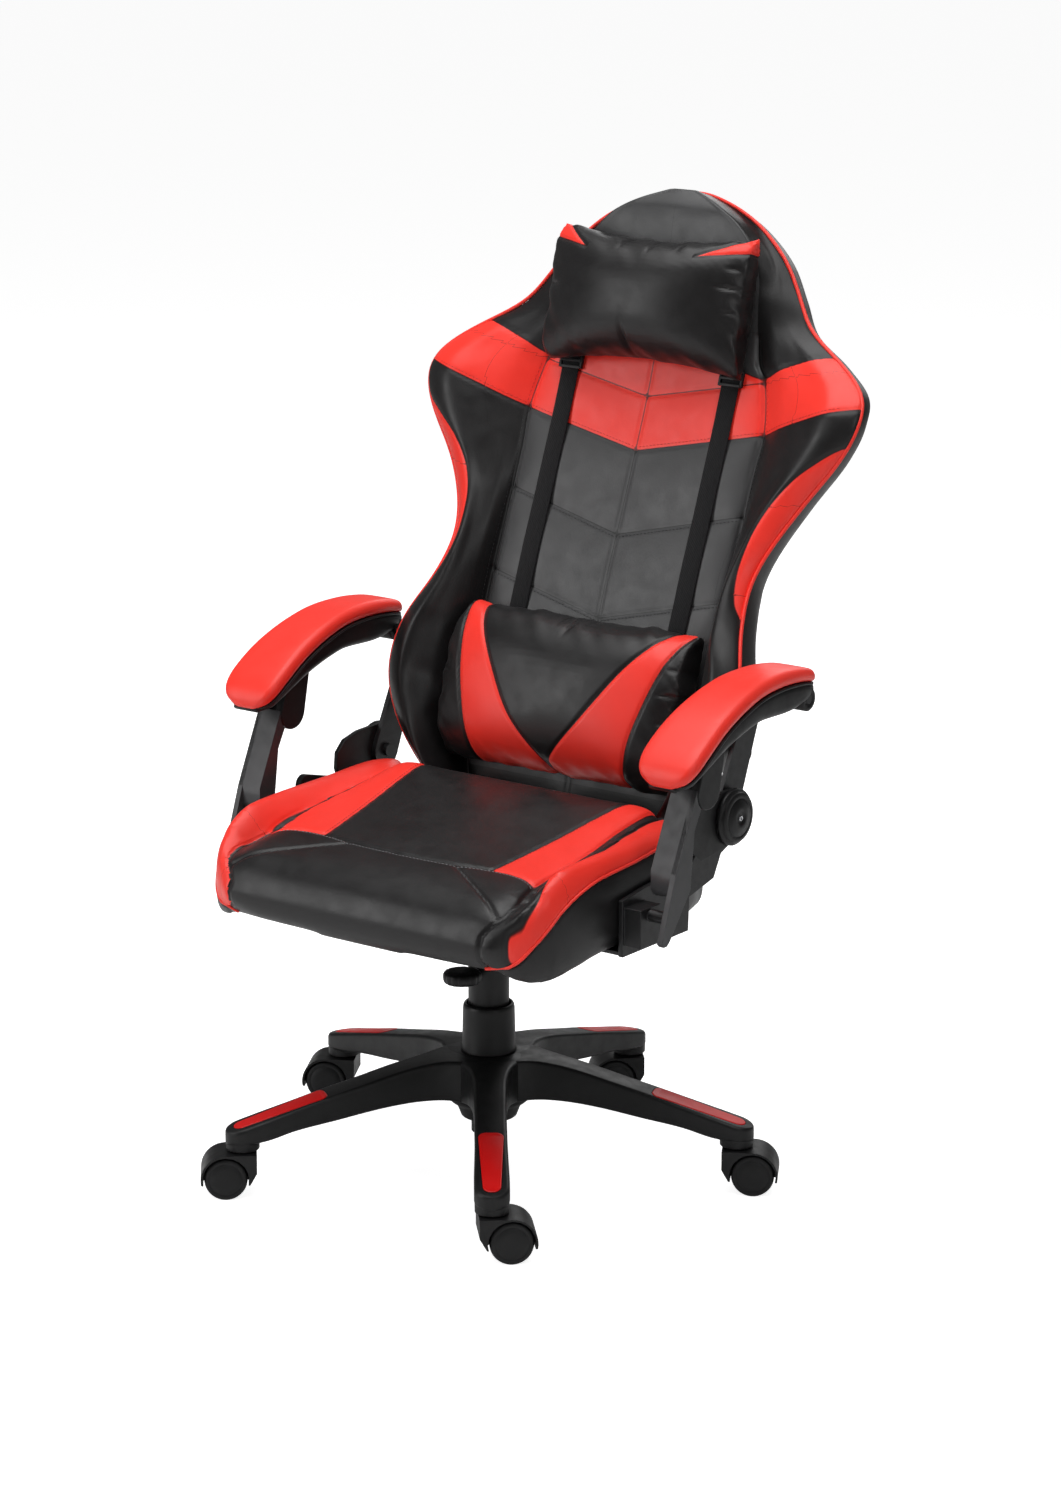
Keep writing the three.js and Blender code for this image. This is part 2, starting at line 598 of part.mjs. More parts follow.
// Steel loop inside the foam, with a plate and pivot pin each side and a stub for each armrest
const [stubY, stubZ] = [ARM_REAR.y - HINGE.y, ARM_REAR.z - HINGE.z];
const [tiltCos, tiltSin] = [Math.cos(rad(BACK_TILT)), Math.sin(rad(BACK_TILT))];
const ARM_STUB = { y: stubY * tiltCos - stubZ * tiltSin, z: stubY * tiltSin + stubZ * tiltCos };
function backFrame(margin) {
  const route = [
    [222, 30, 60], [214, 36, 170], [196, 56, 260], [196, 68, 360], [206, 74, 450], [170, 78, 560],
    [112, 74, 640], [0, 70, 676],
  ];
  const points = [...route, ...route.slice(0, -1).reverse().map(([x, y, z]) => [-x, y, z])];
  const path = new THREE.CatmullRomCurve3(points.map((p) => new THREE.Vector3(...p)));
  const section = new THREE.Shape().absarc(0, 0, 10 + margin, 0, 2 * Math.PI, false);
  const loop = new THREE.ExtrudeGeometry(section, { extrudePath: path, steps: 40, curveSegments: 4 });
  const parts = [-1, 1].flatMap((side) => {
    const at = (x0, x1) => (side > 0 ? [x0, x1] : [-x1, -x0]);
    const plate = linkOutline({ y: 0, z: 0 }, 22 + margin, ARM_STUB, 16 + margin);
    return [
      slab(plate, ...at(PLATE_X - 7 - margin, PLATE_X - 1 + margin)),
      barX(8 + margin, ...at(PLATE_X - 12 - margin, PLATE_X + PLATE_T), 0, 0),
      barX(6 + margin, ...at(206, ARM_X + 22), ARM_STUB.y, ARM_STUB.z, 16),
      barX(9 + margin, ...at(205, PLATE_X - 4), 24, 74, 12),
    ];
  });
  return join(loop, ...parts);
}

function backCushion() {
  const stations = [
    -22, -16, 0, 25, 55, 90, 130, 170, 215, 260, 310, 360, 405, 440, 466, 490, 515, 540, 566,
    600, 635, 665, 687, 703, 714, BACK_TOP,
  ];
  return cut(loft(stations.map(backRing)), backFrame(GAP));
}
piece("back_frame", backFrame(0), MATERIALS.steel, back);
piece("back_cushion", backCushion(), MATERIALS.blackLeather, back);

// Webbing straps that carry the two loose pillows, lying on the face of the back
const STRAP = { x: 116, width: 25, thick: 1.6, lift: 2 };
function strap(side) {
  const rings = [];
  for (let v = 26; v <= 620; v += 27) {
    const rear = backFace(v) - STRAP.lift;
    const [a, b] = [STRAP.x - STRAP.width / 2, STRAP.x + STRAP.width / 2];
    rings.push(
      [[a, rear], [b, rear], [b, rear - STRAP.thick], [a, rear - STRAP.thick]].map(
        ([x, y]) => new THREE.Vector3(side * x, y, v),
      ),
    );
  }
  return loft(rings);
}
for (const [name, side] of SIDES) {
  piece(`pillow_strap_${name}`, strap(side), MATERIALS.webbing, back);
}

// A stuffed pillow: rings across the width, each a flattened oval that thins towards both ends
function pillow({ halfWidth, bottom, top, thick, rear, ends, tipRise }) {
  const rings = [];
  const count = 12;
  for (let i = 0; i <= count; i++) {
    const s = Math.sin(((i / count) * 2 - 1) * (Math.PI / 2)) * 0.995;
    const fullness = ends + (1 - ends) * (1 - Math.abs(s) ** 3);
    const ring = [];
    for (let k = 0; k < 16; k++) {
      const angle = (k / 16) * 2 * Math.PI;
      const up = Math.sign(Math.sin(angle)) * Math.abs(Math.sin(angle)) ** 0.75;
      const out = Math.sign(Math.cos(angle)) * Math.abs(Math.cos(angle)) ** 0.9;
      const z = (bottom + top) / 2 + (up * (top - bottom)) / 2 + tipRise * s * s * up;
      const front = (out < 0 ? out * thick : out * 3) * fullness;
      ring.push(new THREE.Vector3(s * halfWidth, rear(z) + front, z));
    }
    rings.push(ring);
  }
  return loft(rings);
}
const pillowRear = (lift) => (z) => backFace(z) - STRAP.lift - STRAP.thick - lift;
const lumbar = pillow({
  halfWidth: 168, bottom: 6, top: 200, thick: 78, rear: pillowRear(4.5), ends: 0.62, tipRise: -2,
});
piece("lumbar_pillow", lumbar, MATERIALS.redLeather, back);
const head = pillow({
  halfWidth: 139, bottom: 506, top: 655, thick: 74, rear: pillowRear(4.5), ends: 0.35, tipRise: 8,
});
piece("head_pillow", head, MATERIALS.blackLeather, back);

// ---- Armrests: post, plastic body and padded top, level and straight fore and aft ----
const armPath = new THREE.CatmullRomCurve3(
  [[195, 594], [160, 600], [110, 602], [62, 597], [0, 577], [-46, 551], [-80, 525]].map(
    ([y, z]) => new THREE.Vector3(ARM_X, y, z),
  ),
);
const acrossArm = new THREE.Vector3(1, 0, 0);
function armRings(stations, halfWidth, low, high, radius) {
  return stations.map((t) => {
    const tangent = armPath.getTangentAt(t);
    const up = new THREE.Vector3(0, tangent.z, -tangent.y);
    const centre = armPath.getPointAt(t).addScaledVector(up, (low(t) + high(t)) / 2);
    const half = (high(t) - low(t)) / 2;
    return roundedRing(centre, acrossArm, up, halfWidth(t), half, Math.min(radius, half * 0.9), 3);
  });
}
const ARM_STATIONS = [0, 0.02, 0.07, 0.16, 0.28, 0.4, 0.52, 0.64, 0.76, 0.86, 0.94, 0.985, 1];
const POST_HALF = 17;
const TONGUE_HALF = 6;
const LUG_R = 22;
function armFrame() {
  const width = through([[0, 20], [0.07, 25], [0.3, 27], [0.7, 31], [0.94, 29], [1, 20]]);
  const low = through([[0, -22], [0.2, -32], [0.45, -28], [0.75, -22], [0.93, -14], [1, -6]]);
  const body = loft(armRings(ARM_STATIONS, width, low, () => -GAP, 8));
  const rearBoss = barX(14, ARM_X - 22, ARM_X + 22, ARM_REAR.y, ARM_REAR.z, 16);
  const { y, z } = ARM_FRONT;
  const neck = polygon([[y - 6, z + 48], [y - LUG_R + 1, z + 3], [y + LUG_R, z], [y + 34, z + 66]]);
  const lug = join(
    slab(neck, ARM_X - POST_HALF, ARM_X + POST_HALF),
    barX(LUG_R, ARM_X - POST_HALF, ARM_X + POST_HALF, y, z, 24),
  );
  const slot = slab(
    polygon([[y - 60, z - 30], [y + 30, z - 30], [y + 22, z + 20], [y - 60, z + 20]]),
    ARM_X - TONGUE_HALF - 1,
    ARM_X + TONGUE_HALF + 1,
  );
  return cut(
    join(body, rearBoss, lug),
    slot,
    barX(6 + GAP, 200, ARM_X + 22 + GAP, ARM_REAR.y, ARM_REAR.z, 16),
    barX(5 + GAP, ARM_X - 30, ARM_X + 30, y, z, 16),
  );
}
function armPad() {
  const width = through([
    [0, 17], [0.02, 23], [0.07, 27], [0.3, 31], [0.7, 38], [0.86, 39], [0.94, 36], [0.985, 28], [1, 20],
  ]);
  const top = through([[0, 8], [0.04, 14], [0.1, 17], [0.8, 19], [0.93, 17], [1, 8]]);
  return loft(armRings(ARM_STATIONS, width, () => 0, top, 11));
}
// The post's forked foot turns on the recliner plate's stub; a tongue at its top enters the arm's lug
function armPost() {
  const { y, z } = ARM_FRONT;
  const outline = polygon([
    [y - 32, z + 5], [-76, 425], [-101, 352], [-91, 349],
    [-47, 404], [-40, 470], [-14, 506], [y - 16, z + 2],
  ]);
  const lugRoom = barX(LUG_R + 1.2, ARM_X - 30, ARM_X + 30, y, z, 32);
  const column = cut(
    slab(outline, ARM_X - POST_HALF, ARM_X + POST_HALF),
    lugRoom,
    barX(7 + GAP, ARM_X - 30, ARM_X + 10 + GAP, POST_FOOT.y, POST_FOOT.z, 16),
  );
  const link = linkOutline({ y, z }, 13, { y: -52, z: 470 }, 9);
  const tongue = slab(link, ARM_X - TONGUE_HALF, ARM_X + TONGUE_HALF);
  return join(column, tongue, barX(5, ARM_X - 16, ARM_X + 16, y, z, 16));
}
for (const [name, side] of SIDES) {
  const place = (geometry) => (side > 0 ? geometry : mirrored(geometry));
  piece(`arm_frame_${name}`, place(armFrame()), MATERIALS.nylon);
  piece(`arm_pad_${name}`, place(armPad()), MATERIALS.redLeather);
  piece(`arm_post_${name}`, place(armPost()), MATERIALS.nylon);
}

export default chair;
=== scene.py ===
"""The looks of a reclining gaming chair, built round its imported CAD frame.

Lengths are millimetres until mesh_object() makes them metres. The back is shaped in its own frame:
x across, v up the back from the recline axis, and w to the rear.
"""

import json
import math

import bmesh
import bpy
import numpy as np
from mathutils import Matrix, Vector
from mathutils.bvhtree import BVHTree

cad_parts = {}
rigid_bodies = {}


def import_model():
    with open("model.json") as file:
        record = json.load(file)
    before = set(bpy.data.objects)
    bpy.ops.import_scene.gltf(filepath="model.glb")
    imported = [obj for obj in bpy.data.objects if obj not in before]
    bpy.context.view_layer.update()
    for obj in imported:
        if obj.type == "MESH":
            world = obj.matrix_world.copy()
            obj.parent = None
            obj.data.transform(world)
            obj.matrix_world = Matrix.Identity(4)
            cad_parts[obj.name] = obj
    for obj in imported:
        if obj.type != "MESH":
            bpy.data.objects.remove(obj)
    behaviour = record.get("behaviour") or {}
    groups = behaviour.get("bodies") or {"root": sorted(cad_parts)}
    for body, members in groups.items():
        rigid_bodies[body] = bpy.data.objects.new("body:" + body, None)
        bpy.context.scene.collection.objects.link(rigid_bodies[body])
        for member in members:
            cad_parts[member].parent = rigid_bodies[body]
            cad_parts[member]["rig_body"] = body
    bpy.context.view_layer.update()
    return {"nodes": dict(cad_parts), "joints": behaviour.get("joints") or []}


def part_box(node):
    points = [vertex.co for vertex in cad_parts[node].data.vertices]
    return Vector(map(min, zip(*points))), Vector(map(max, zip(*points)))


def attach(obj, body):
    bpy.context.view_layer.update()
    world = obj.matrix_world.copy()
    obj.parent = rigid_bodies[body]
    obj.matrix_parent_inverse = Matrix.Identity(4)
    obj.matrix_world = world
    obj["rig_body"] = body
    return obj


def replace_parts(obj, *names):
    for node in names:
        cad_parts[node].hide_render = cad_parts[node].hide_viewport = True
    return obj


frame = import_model()

MM = 0.001
scene = bpy.context.scene
JOINTS = {joint["name"]: joint for joint in frame["joints"]}


def joint_at(name):
    """Where a joint's axis passes, in millimetres."""
    return np.array(JOINTS[name]["pos_m"]) / MM


COLUMN = joint_at("seat_swivel")
HINGE = joint_at("recline")
POST_FOOT = joint_at("post_left_pivot")
ARM_REAR = joint_at("arm_left_pivot")
ARM_FRONT = POST_FOOT + ARM_REAR - HINGE
BACK_TILT = math.radians(18)
SIDES = (("left", 1), ("right", -1))


# ---- Shapes ----
def through(pairs):
    """A smooth function through (position, value) pairs, held flat past its ends."""
    at, value = np.array(pairs, float).T
    before = np.maximum(np.arange(len(at)) - 1, 0)
    after = np.minimum(np.arange(len(at)) + 1, len(at) - 1)
    slope = (value[after] - value[before]) / (at[after] - at[before])

    def curve(where):
        t = np.clip(np.asarray(where, float), at[0], at[-1])
        i = np.clip(np.searchsorted(at, t) - 1, 0, len(at) - 2)
        span = at[i + 1] - at[i]
        u = (t - at[i]) / span
        return (
            value[i] * (1 + 2 * u) * (1 - u) ** 2
            + slope[i] * span * u * (1 - u) ** 2
            + value[i + 1] * u * u * (3 - 2 * u)
            + slope[i + 1] * span * u * u * (u - 1)
        )

    return curve


def closed_curve(control, counts):
    """Points round a smooth closed curve through control, counts[k] of them on the stretch after point k."""
    control = np.asarray(control, float)
    n = len(control)
    points = []
    for k in range(n):
        p0, p1, p2, p3 = (control[(k + step) % n] for step in (-1, 0, 1, 2))
        d01, d12, d23 = (max(np.linalg.norm(b - a), 1e-6) ** 0.5 for a, b in ((p0, p1), (p1, p2), (p2, p3)))
        start = d12 * ((p1 - p0) / d01 - (p2 - p0) / (d01 + d12) + (p2 - p1) / d12)
        end = d12 * ((p2 - p1) / d12 - (p3 - p1) / (d12 + d23) + (p3 - p2) / d23)
        u = (np.arange(counts[k]) / counts[k])[:, None]
        points.append(
            p1 * (1 + 2 * u) * (1 - u) ** 2
            + start * u * (1 - u) ** 2
            + p2 * u * u * (3 - 2 * u)
            + end * u * u * (u - 1)
        )
    return np.concatenate(points)


def mesh_object(name, points, faces):
    """A mesh object from points in millimetres."""
    mesh = bpy.data.meshes.new(name)
    mesh.from_pydata((np.asarray(points, float) * MM).tolist(), [], [list(face) for face in faces])
    mesh.update()
    mesh.shade_smooth()
    made = bpy.data.objects.new(name, mesh)
    scene.collection.objects.link(made)
    return made


def loft(name, rings):
    """A closed mesh through rings of equal length, each end filled by a fan."""
    rings = np.asarray(rings, float)
    count, n = rings.shape[:2]
    points = list(rings.reshape(-1, 3))
    faces = []
    for r in range(count - 1):
        for i in range(n):
            a, b = r * n + i, r * n + (i + 1) % n
            faces.append((a, b, b + n, a + n))
    for r in (0, count - 1):
        points.append(rings[r].mean(0))
        for i in range(n):
            faces.append((len(points) - 1, r * n + i, r * n + (i + 1) % n))
    made = mesh_object(name, points, faces)
    face_out(made)
    return made


def edit(obj):
    """The object's mesh as an editable bmesh, to be given back by commit()."""
    bm = bmesh.new()
    bm.from_mesh(obj.data)
    return bm


def commit(obj, bm):
    bm.to_mesh(obj.data)
    bm.free()
    obj.data.update()


def face_out(obj):
    bm = edit(obj)
    bmesh.ops.recalc_face_normals(bm, faces=bm.faces)
    commit(obj, bm)


def turned(name, profile, segments=64, centre=(0, 0, 0), axis="Z"):
    """A closed (radius, height) profile turned about an axis through centre."""
    angles = np.linspace(0, 2 * math.pi, segments, endpoint=False)
    points, faces, rows = [], [], []
    for radius, height in profile:
        if radius < 1e-6:
            rows.append([len(points)] * segments)
            points.append((0, 0, height))
        else:
            rows.append(list(range(len(points), len(points) + segments)))
            points.extend((radius * math.cos(a), radius * math.sin(a), height) for a in angles)
    closed = profile[0][0] > 1e-6
    for low, high in zip(rows, rows[1:] + rows[:1] if closed else rows[1:]):
        for i in range(segments):
            j = (i + 1) % segments
            corners = list(dict.fromkeys((low[i], low[j], high[j], high[i])))
            if len(corners) > 2:
                faces.append(corners)
    points = np.array(points, float)
    if axis == "X":
        points = points[:, [2, 0, 1]]
    made = mesh_object(name, points + np.array(centre, float), faces)
    face_out(made)
    return made


def modified(obj, kind, **settings):
    """Adds a modifier, applies it, and returns the object."""
    modifier = obj.modifiers.new(kind.lower(), kind)
    for key, value in settings.items():
        setattr(modifier, key, value)
    graph = bpy.context.evaluated_depsgraph_get()
    mesh = bpy.data.meshes.new_from_object(obj.evaluated_get(graph), depsgraph=graph)
    obj.modifiers.clear()
    old, obj.data = obj.data, mesh
    bpy.data.meshes.remove(old)
    return obj


def bevelled(obj, width, angle=28, segments=2):
    """Rounds the sharp edges, and evens the shading over them."""
    modified(
        obj, "BEVEL", width=width * MM, segments=segments, limit_method="ANGLE",
        angle_limit=math.radians(angle), use_clamp_overlap=True,
    )
    obj.data.shade_smooth()
    modified(obj, "WEIGHTED_NORMAL", keep_sharp=False, weight=90)
    return obj


def prism(name, outline, x0, x1, bevel=1.0):
    """A (y, z) outline extruded along X, with rounded edges."""
    n = len(outline)
    points = [(x, y, z) for x in (x0, x1) for y, z in outline]
    faces = [tuple(range(n)), tuple(range(n, 2 * n))]
    faces += [(i, (i + 1) % n, (i + 1) % n + n, i + n) for i in range(n)]
    made = mesh_object(name, points, faces)
    face_out(made)
    return bevelled(made, bevel)


def joined(name, pieces):
    """Several objects as one."""
    bm = bmesh.new()
    for piece in pieces:
        mesh = piece.data
        mesh.transform(piece.matrix_world)
        bm.from_mesh(mesh)
    made = pieces[0]
    materials = [slot.material for slot in made.material_slots]
    commit(made, bm)
    made.matrix_world = Matrix.Identity(4)
    for other in pieces[1:]:
        bpy.data.objects.remove(other)
    for material in materials:
        if material and material.name not in made.data.materials:
            made.data.materials.append(material)
    made.name = name
    return made


def sweep(name, path, radius, sides=8):
    """A round tube along a path of points."""
    path = np.asarray(path, float)
    tangents = np.gradient(path, axis=0)
    tangents /= np.linalg.norm(tangents, axis=1)[:, None]
    side = np.cross(tangents[0], (0.3, 0.2, 1.0))
    rings = []
    for centre, tangent in zip(path, tangents):
        side = side - tangent * side.dot(tangent)
        side /= np.linalg.norm(side)
        other = np.cross(tangent, side)
        turn = np.linspace(0, 2 * math.pi, sides, endpoint=False)[:, None]
        rings.append(centre + radius * (np.cos(turn) * side + np.sin(turn) * other))
    return loft(name, rings)


def rounded_rectangle(half_width, half_height, corner, steps):
    """Points round a rectangle with rounded corners, steps of them on each corner."""
    return [
        (
            sa * (half_width - corner) + corner * math.cos((quarter + i / (steps - 1)) * math.pi / 2),
            sb * (half_height - corner) + corner * math.sin((quarter + i / (steps - 1)) * math.pi / 2),
        )
        for quarter, (sa, sb) in enumerate(((1, 1), (-1, 1), (-1, -1), (1, -1)))
        for i in range(steps)
    ]


def arc(centre, radius, start, end, count):
    """Points along a circle's arc, between two angles in degrees."""
    return [
        (centre[0] + radius * math.cos(math.radians(a)), centre[1] + radius * math.sin(math.radians(a)))
        for a in np.linspace(start, end, count)
    ]


def copy_of(node, name, bevel):
    """A finer copy of a CAD node: its flat faces merged, and its sharp edges rounded."""
    mesh = frame["nodes"][node].data.copy()
    made = bpy.data.objects.new(name, mesh)
    scene.collection.objects.link(made)
    mesh.materials.clear()
    bm = edit(made)
    bmesh.ops.remove_doubles(bm, verts=bm.verts, dist=1e-5)
    bmesh.ops.dissolve_limit(bm, angle_limit=math.radians(1.2), verts=bm.verts, edges=bm.edges)
    commit(made, bm)
    bevelled(made, bevel)
    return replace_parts(made, node)


def placed(obj, body, material):
    """Gives a piece its material and its slot, and fixes it to the body it moves with."""
    obj.data.materials.clear()
    obj.data.materials.append(material)
    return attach(obj, body)


def coordinates(obj):
    """The points of a mesh, in millimetres."""
    co = np.empty(len(obj.data.vertices) * 3, np.float32)
    obj.data.vertices.foreach_get("co", co)
    return co.reshape(-1, 3).astype(float) / MM


def normals(obj):
    values = np.empty(len(obj.data.vertices) * 3, np.float32)
    obj.data.vertices.foreach_get("normal", values)
    return values.reshape(-1, 3).astype(float)


def set_coordinates(obj, points):
    obj.data.vertices.foreach_set("co", (points * MM).astype(np.float32).ravel())
    obj.data.update()


def set_attribute(obj, name, values):
    attribute = obj.data.attributes.get(name) or obj.data.attributes.new(name, "FLOAT", "POINT")
    attribute.data.foreach_set("value", np.asarray(values, np.float32))


def set_tones(obj, red, seam, panel=-5.0):
    """What the two-tone leather reads at each point: how far into the red and the panel, and from a seam,
    where the leather's colour is darkened as painted shade.
    """
    set_attribute(obj, "red", red)
    set_attribute(obj, "seam", seam)
    set_attribute(obj, "panel", np.broadcast_to(panel, len(red)))


def attribute_of(obj, name):
    values = np.empty(len(obj.data.vertices), np.float32)
    obj.data.attributes[name].data.foreach_get("value", values)
    return values.astype(float)


# ---- Cloth ----
CLOTH_FRAMES = 20
CLOTH_PRESSURE = 4.0
SEAM_REACH = 6.0  # how far from a seam its pull and the painted shade in its crease can reach


def eased(obj, values, held, rounds):
    """Values at the points averaged with their neighbours, with the held points kept at nothing."""
    ends = np.empty(len(obj.data.edges) * 2, np.int32)
    obj.data.edges.foreach_get("vertices", ends)
    a, b = ends.reshape(-1, 2).T
    count = np.maximum(np.bincount(ends, minlength=len(values)), 1)[:, None]
    for _ in range(rounds):
        total = np.column_stack([
            np.bincount(a, values[b, k], len(values)) + np.bincount(b, values[a, k], len(values))
            for k in range(values.shape[1])
        ])
        values = np.where(held[:, None], 0, (values + total / count) / 2)
    return values


def inflate(obj, held, cap, bending, rounds):
    """Swells a cover by cloth simulation, with the held points fixed and no point moving further than cap.

    The movement is then averaged between neighbours, as many times as rounds says.
    """
    rest = coordinates(obj)
    group = obj.vertex_groups.new(name="held")
    group.add(np.flatnonzero(held).tolist(), 1.0, "REPLACE")
    cloth = obj.modifiers.new("cloth", "CLOTH")
    cloth.point_cache.frame_start, cloth.point_cache.frame_end = 1, CLOTH_FRAMES
    cloth.settings.use_pressure = True
    cloth.settings.uniform_pressure_force = CLOTH_PRESSURE
    cloth.settings.effector_weights.gravity = 0
    cloth.settings.vertex_group_mass = "held"
    cloth.settings.mass = 0.1
    cloth.settings.bending_stiffness = bending
    cloth.collision_settings.use_collision = False
    for step in range(1, CLOTH_FRAMES + 1):
        scene.frame_set(step)
    evaluated = obj.evaluated_get(bpy.context.evaluated_depsgraph_get())
    swollen = np.empty(len(rest) * 3, np.float32)
    evaluated.data.vertices.foreach_get("co", swollen)
    obj.modifiers.remove(cloth)
    obj.vertex_groups.remove(group)
    scene.frame_set(1)
    moved = swollen.reshape(-1, 3).astype(float) / MM - rest
    length = np.linalg.norm(moved, axis=1)[:, None]
    moved *= np.minimum(1, np.reshape(cap, (-1, 1)) / np.maximum(length, 1e-9))
    set_coordinates(obj, rest + eased(obj, moved, held, rounds))
    return obj


def smoothed(obj, rounds, chosen):
    """Evens out the chosen points of a mesh."""
    bm = edit(obj)
    bm.verts.ensure_lookup_table()
    verts = [bm.verts[i] for i in np.flatnonzero(chosen)]
    for _ in range(rounds):
        bmesh.ops.smooth_vert(
            bm, verts=verts, factor=0.5, use_axis_x=True, use_axis_y=True, use_axis_z=True
        )
    commit(obj, bm)


def sew(obj, distance, depth, width):
    """Pulls the surface in along its seams: distance is each point's distance to the nearest seam."""
    pull = depth * np.exp(-((distance / width) ** 2)) * (np.abs(distance) < SEAM_REACH)
    set_coordinates(obj, coordinates(obj) - normals(obj) * pull[:, None])


def seam_field(*seams):
    """One signed field that is nought on every seam and grows to SEAM_REACH away from them.

    Each seam is its signed distance and where it runs. The product of the clipped distances changes
    sign across every seam, so that it still finds the seam exactly between two points of the mesh.
    """
    field = SEAM_REACH
    for distance, runs in seams:
        side = np.where(distance < 0, -1.0, 1.0)
        field = field * np.where(runs, np.clip(distance / SEAM_REACH, -1, 1), side)
    return field


def surface_of(obj):
    """A mesh's surface, for casting rays at."""
    return BVHTree.FromObject(obj, bpy.context.evaluated_depsgraph_get())


STITCH_LENGTH, STITCH_GAP, THREAD_RADIUS, THREAD_LIFT = 3.4, 1.6, 0.38, 0.05


def stitches(name, surface, path, toward):
    """Thread stitches along a path, dropped on the surface in the direction toward."""
    path = np.asarray(path, float)
    steps = np.linalg.norm(np.diff(path, axis=0), axis=1)
    reach = np.concatenate([[0], np.cumsum(steps)])

    def at(s):
        return np.array([np.interp(s, reach, path[:, k]) for k in range(3)])

    direction = Vector(toward).normalized()
    bm = bmesh.new()
    s = 1.0
    while s + STITCH_LENGTH < reach[-1]:
        ends = []
        for where in (s, s + STITCH_LENGTH):
            start = Vector(at(where) * MM) - direction * 0.12
            hit, normal, _, _ = surface.ray_cast(start, direction, 0.4)
            if hit is not None:
                ends.append((hit + normal * THREAD_LIFT * MM, normal))
        if len(ends) == 2:
            add_stitch(bm, ends[0], ends[1], THREAD_RADIUS * MM)
        s += STITCH_LENGTH + STITCH_GAP
    mesh = bpy.data.meshes.new(name)
    bm.to_mesh(mesh)
    bm.free()
    mesh.shade_smooth()
    made = bpy.data.objects.new(name, mesh)
    scene.collection.objects.link(made)
    return made


def add_stitch(bm, start, end, radius):
    """One thread, sunk at both ends."""
    (a, normal), (b, _) = start, end
    run = b - a
    if run.length < 1e-6:
        return
    side = run.normalized().cross(normal)
    turns = [k * math.pi / 3 for k in range(6)]
    rings = []
    for t, scale, rise in ((0, 0.35, -0.6), (0.22, 1, 0.35), (0.78, 1, 0.35), (1, 0.35, -0.6)):
        centre = a + run * t + normal * radius * rise
        rings.append([
            bm.verts.new(centre + (side * math.cos(turn) + normal * math.sin(turn)) * radius * scale)
            for turn in turns
        ])
    for low, high in zip(rings, rings[1:]):
        for i in range(6):
            bm.faces.new((low[i], low[(i + 1) % 6], high[(i + 1) % 6], high[i]))
    bm.faces.new(rings[0][::-1])
    bm.faces.new(rings[-1])


# ---- Materials ----
def new_material(name, colour, roughness, metallic=0.0):
    made = bpy.data.materials.new(name)
    made.use_nodes = True
    shader = made.node_tree.nodes["Principled BSDF"]
    shader.inputs["Base Color"].default_value = (*colour, 1)
    shader.inputs["Roughness"].default_value = roughness
    shader.inputs["Metallic"].default_value = metallic
    return made, made.node_tree, shader


def node(tree, kind, inputs=(), **settings):
    """A new shader node. An input is a value, or another node's output to link it to."""
    made = tree.nodes.new(kind)
    for key, value in settings.items():
        setattr(made, key, value)
    for key, value in dict(inputs).items():
        if isinstance(value, bpy.types.NodeSocket):
            tree.links.new(value, made.inputs[key])
        else:
            made.inputs[key].default_value = value
    return made


def object_space(tree):
    return node(tree, "ShaderNodeTexCoord").outputs["Object"]


def noise(tree, scale, detail=3.0, roughness=0.55):
    return node(
        tree, "ShaderNodeTexNoise",
        {"Vector": object_space(tree), "Scale": scale, "Detail": detail, "Roughness": roughness},
    ).outputs["Fac"]


def ranged(tree, value, low, high, from_low=0.3, from_high=0.7):
    """A value stretched from one range to another. The first suits a noise, which keeps to its middle."""
    return node(
        tree, "ShaderNodeMapRange",
        {"Value": value, "From Min": from_low, "From Max": from_high, "To Min": low, "To Max": high},
    ).outputs["Result"]


def math_node(tree, operation, a, b=0.0):
    made = node(tree, "ShaderNodeMath", operation=operation)
    for index, value in enumerate((a, b)):
        if isinstance(value, bpy.types.NodeSocket):
            tree.links.new(value, made.inputs[index])
        else:
            made.inputs[index].default_value = value
    return made.outputs[0]


def mixed(tree, factor, a, b, blend="MIX"):
    made = node(tree, "ShaderNodeMix", data_type="RGBA", blend_type=blend)
    for socket, value in ((made.inputs[0], factor), (made.inputs[6], a), (made.inputs[7], b)):
        if isinstance(value, bpy.types.NodeSocket):
            tree.links.new(value, socket)
        else:
            socket.default_value = value if isinstance(value, float) else (*value, 1)
    return made.outputs[2]


def bumped(tree, shader, height, strength, distance):
    bump = node(
        tree, "ShaderNodeBump", {"Height": height, "Strength": strength, "Distance": distance}
    )
    tree.links.new(bump.outputs["Normal"], shader.inputs["Normal"])


def grain_height(tree):
    """Fine pebbled leather grain with faint larger creases, as a height."""
    cells = node(
        tree, "ShaderNodeTexVoronoi",
        {"Vector": object_space(tree), "Scale": 620.0, "Smoothness": 0.6}, feature="SMOOTH_F1",
    ).outputs["Distance"]
    fine = noise(tree, 260.0, 4.0)
    crease = noise(tree, 38.0, 3.0)
    pebble = math_node(tree, "MULTIPLY_ADD", cells, 0.55)
    tree.links.new(math_node(tree, "MULTIPLY", fine, 0.5), pebble.node.inputs[2])
    return math_node(tree, "ADD", pebble, math_node(tree, "MULTIPLY", crease, 0.25))


BLACK_HIDE = (0.0085, 0.0078, 0.0081)
PANEL_HIDE = (0.046, 0.046, 0.047)
RED_HIDE = (0.93, 0.038, 0.024)


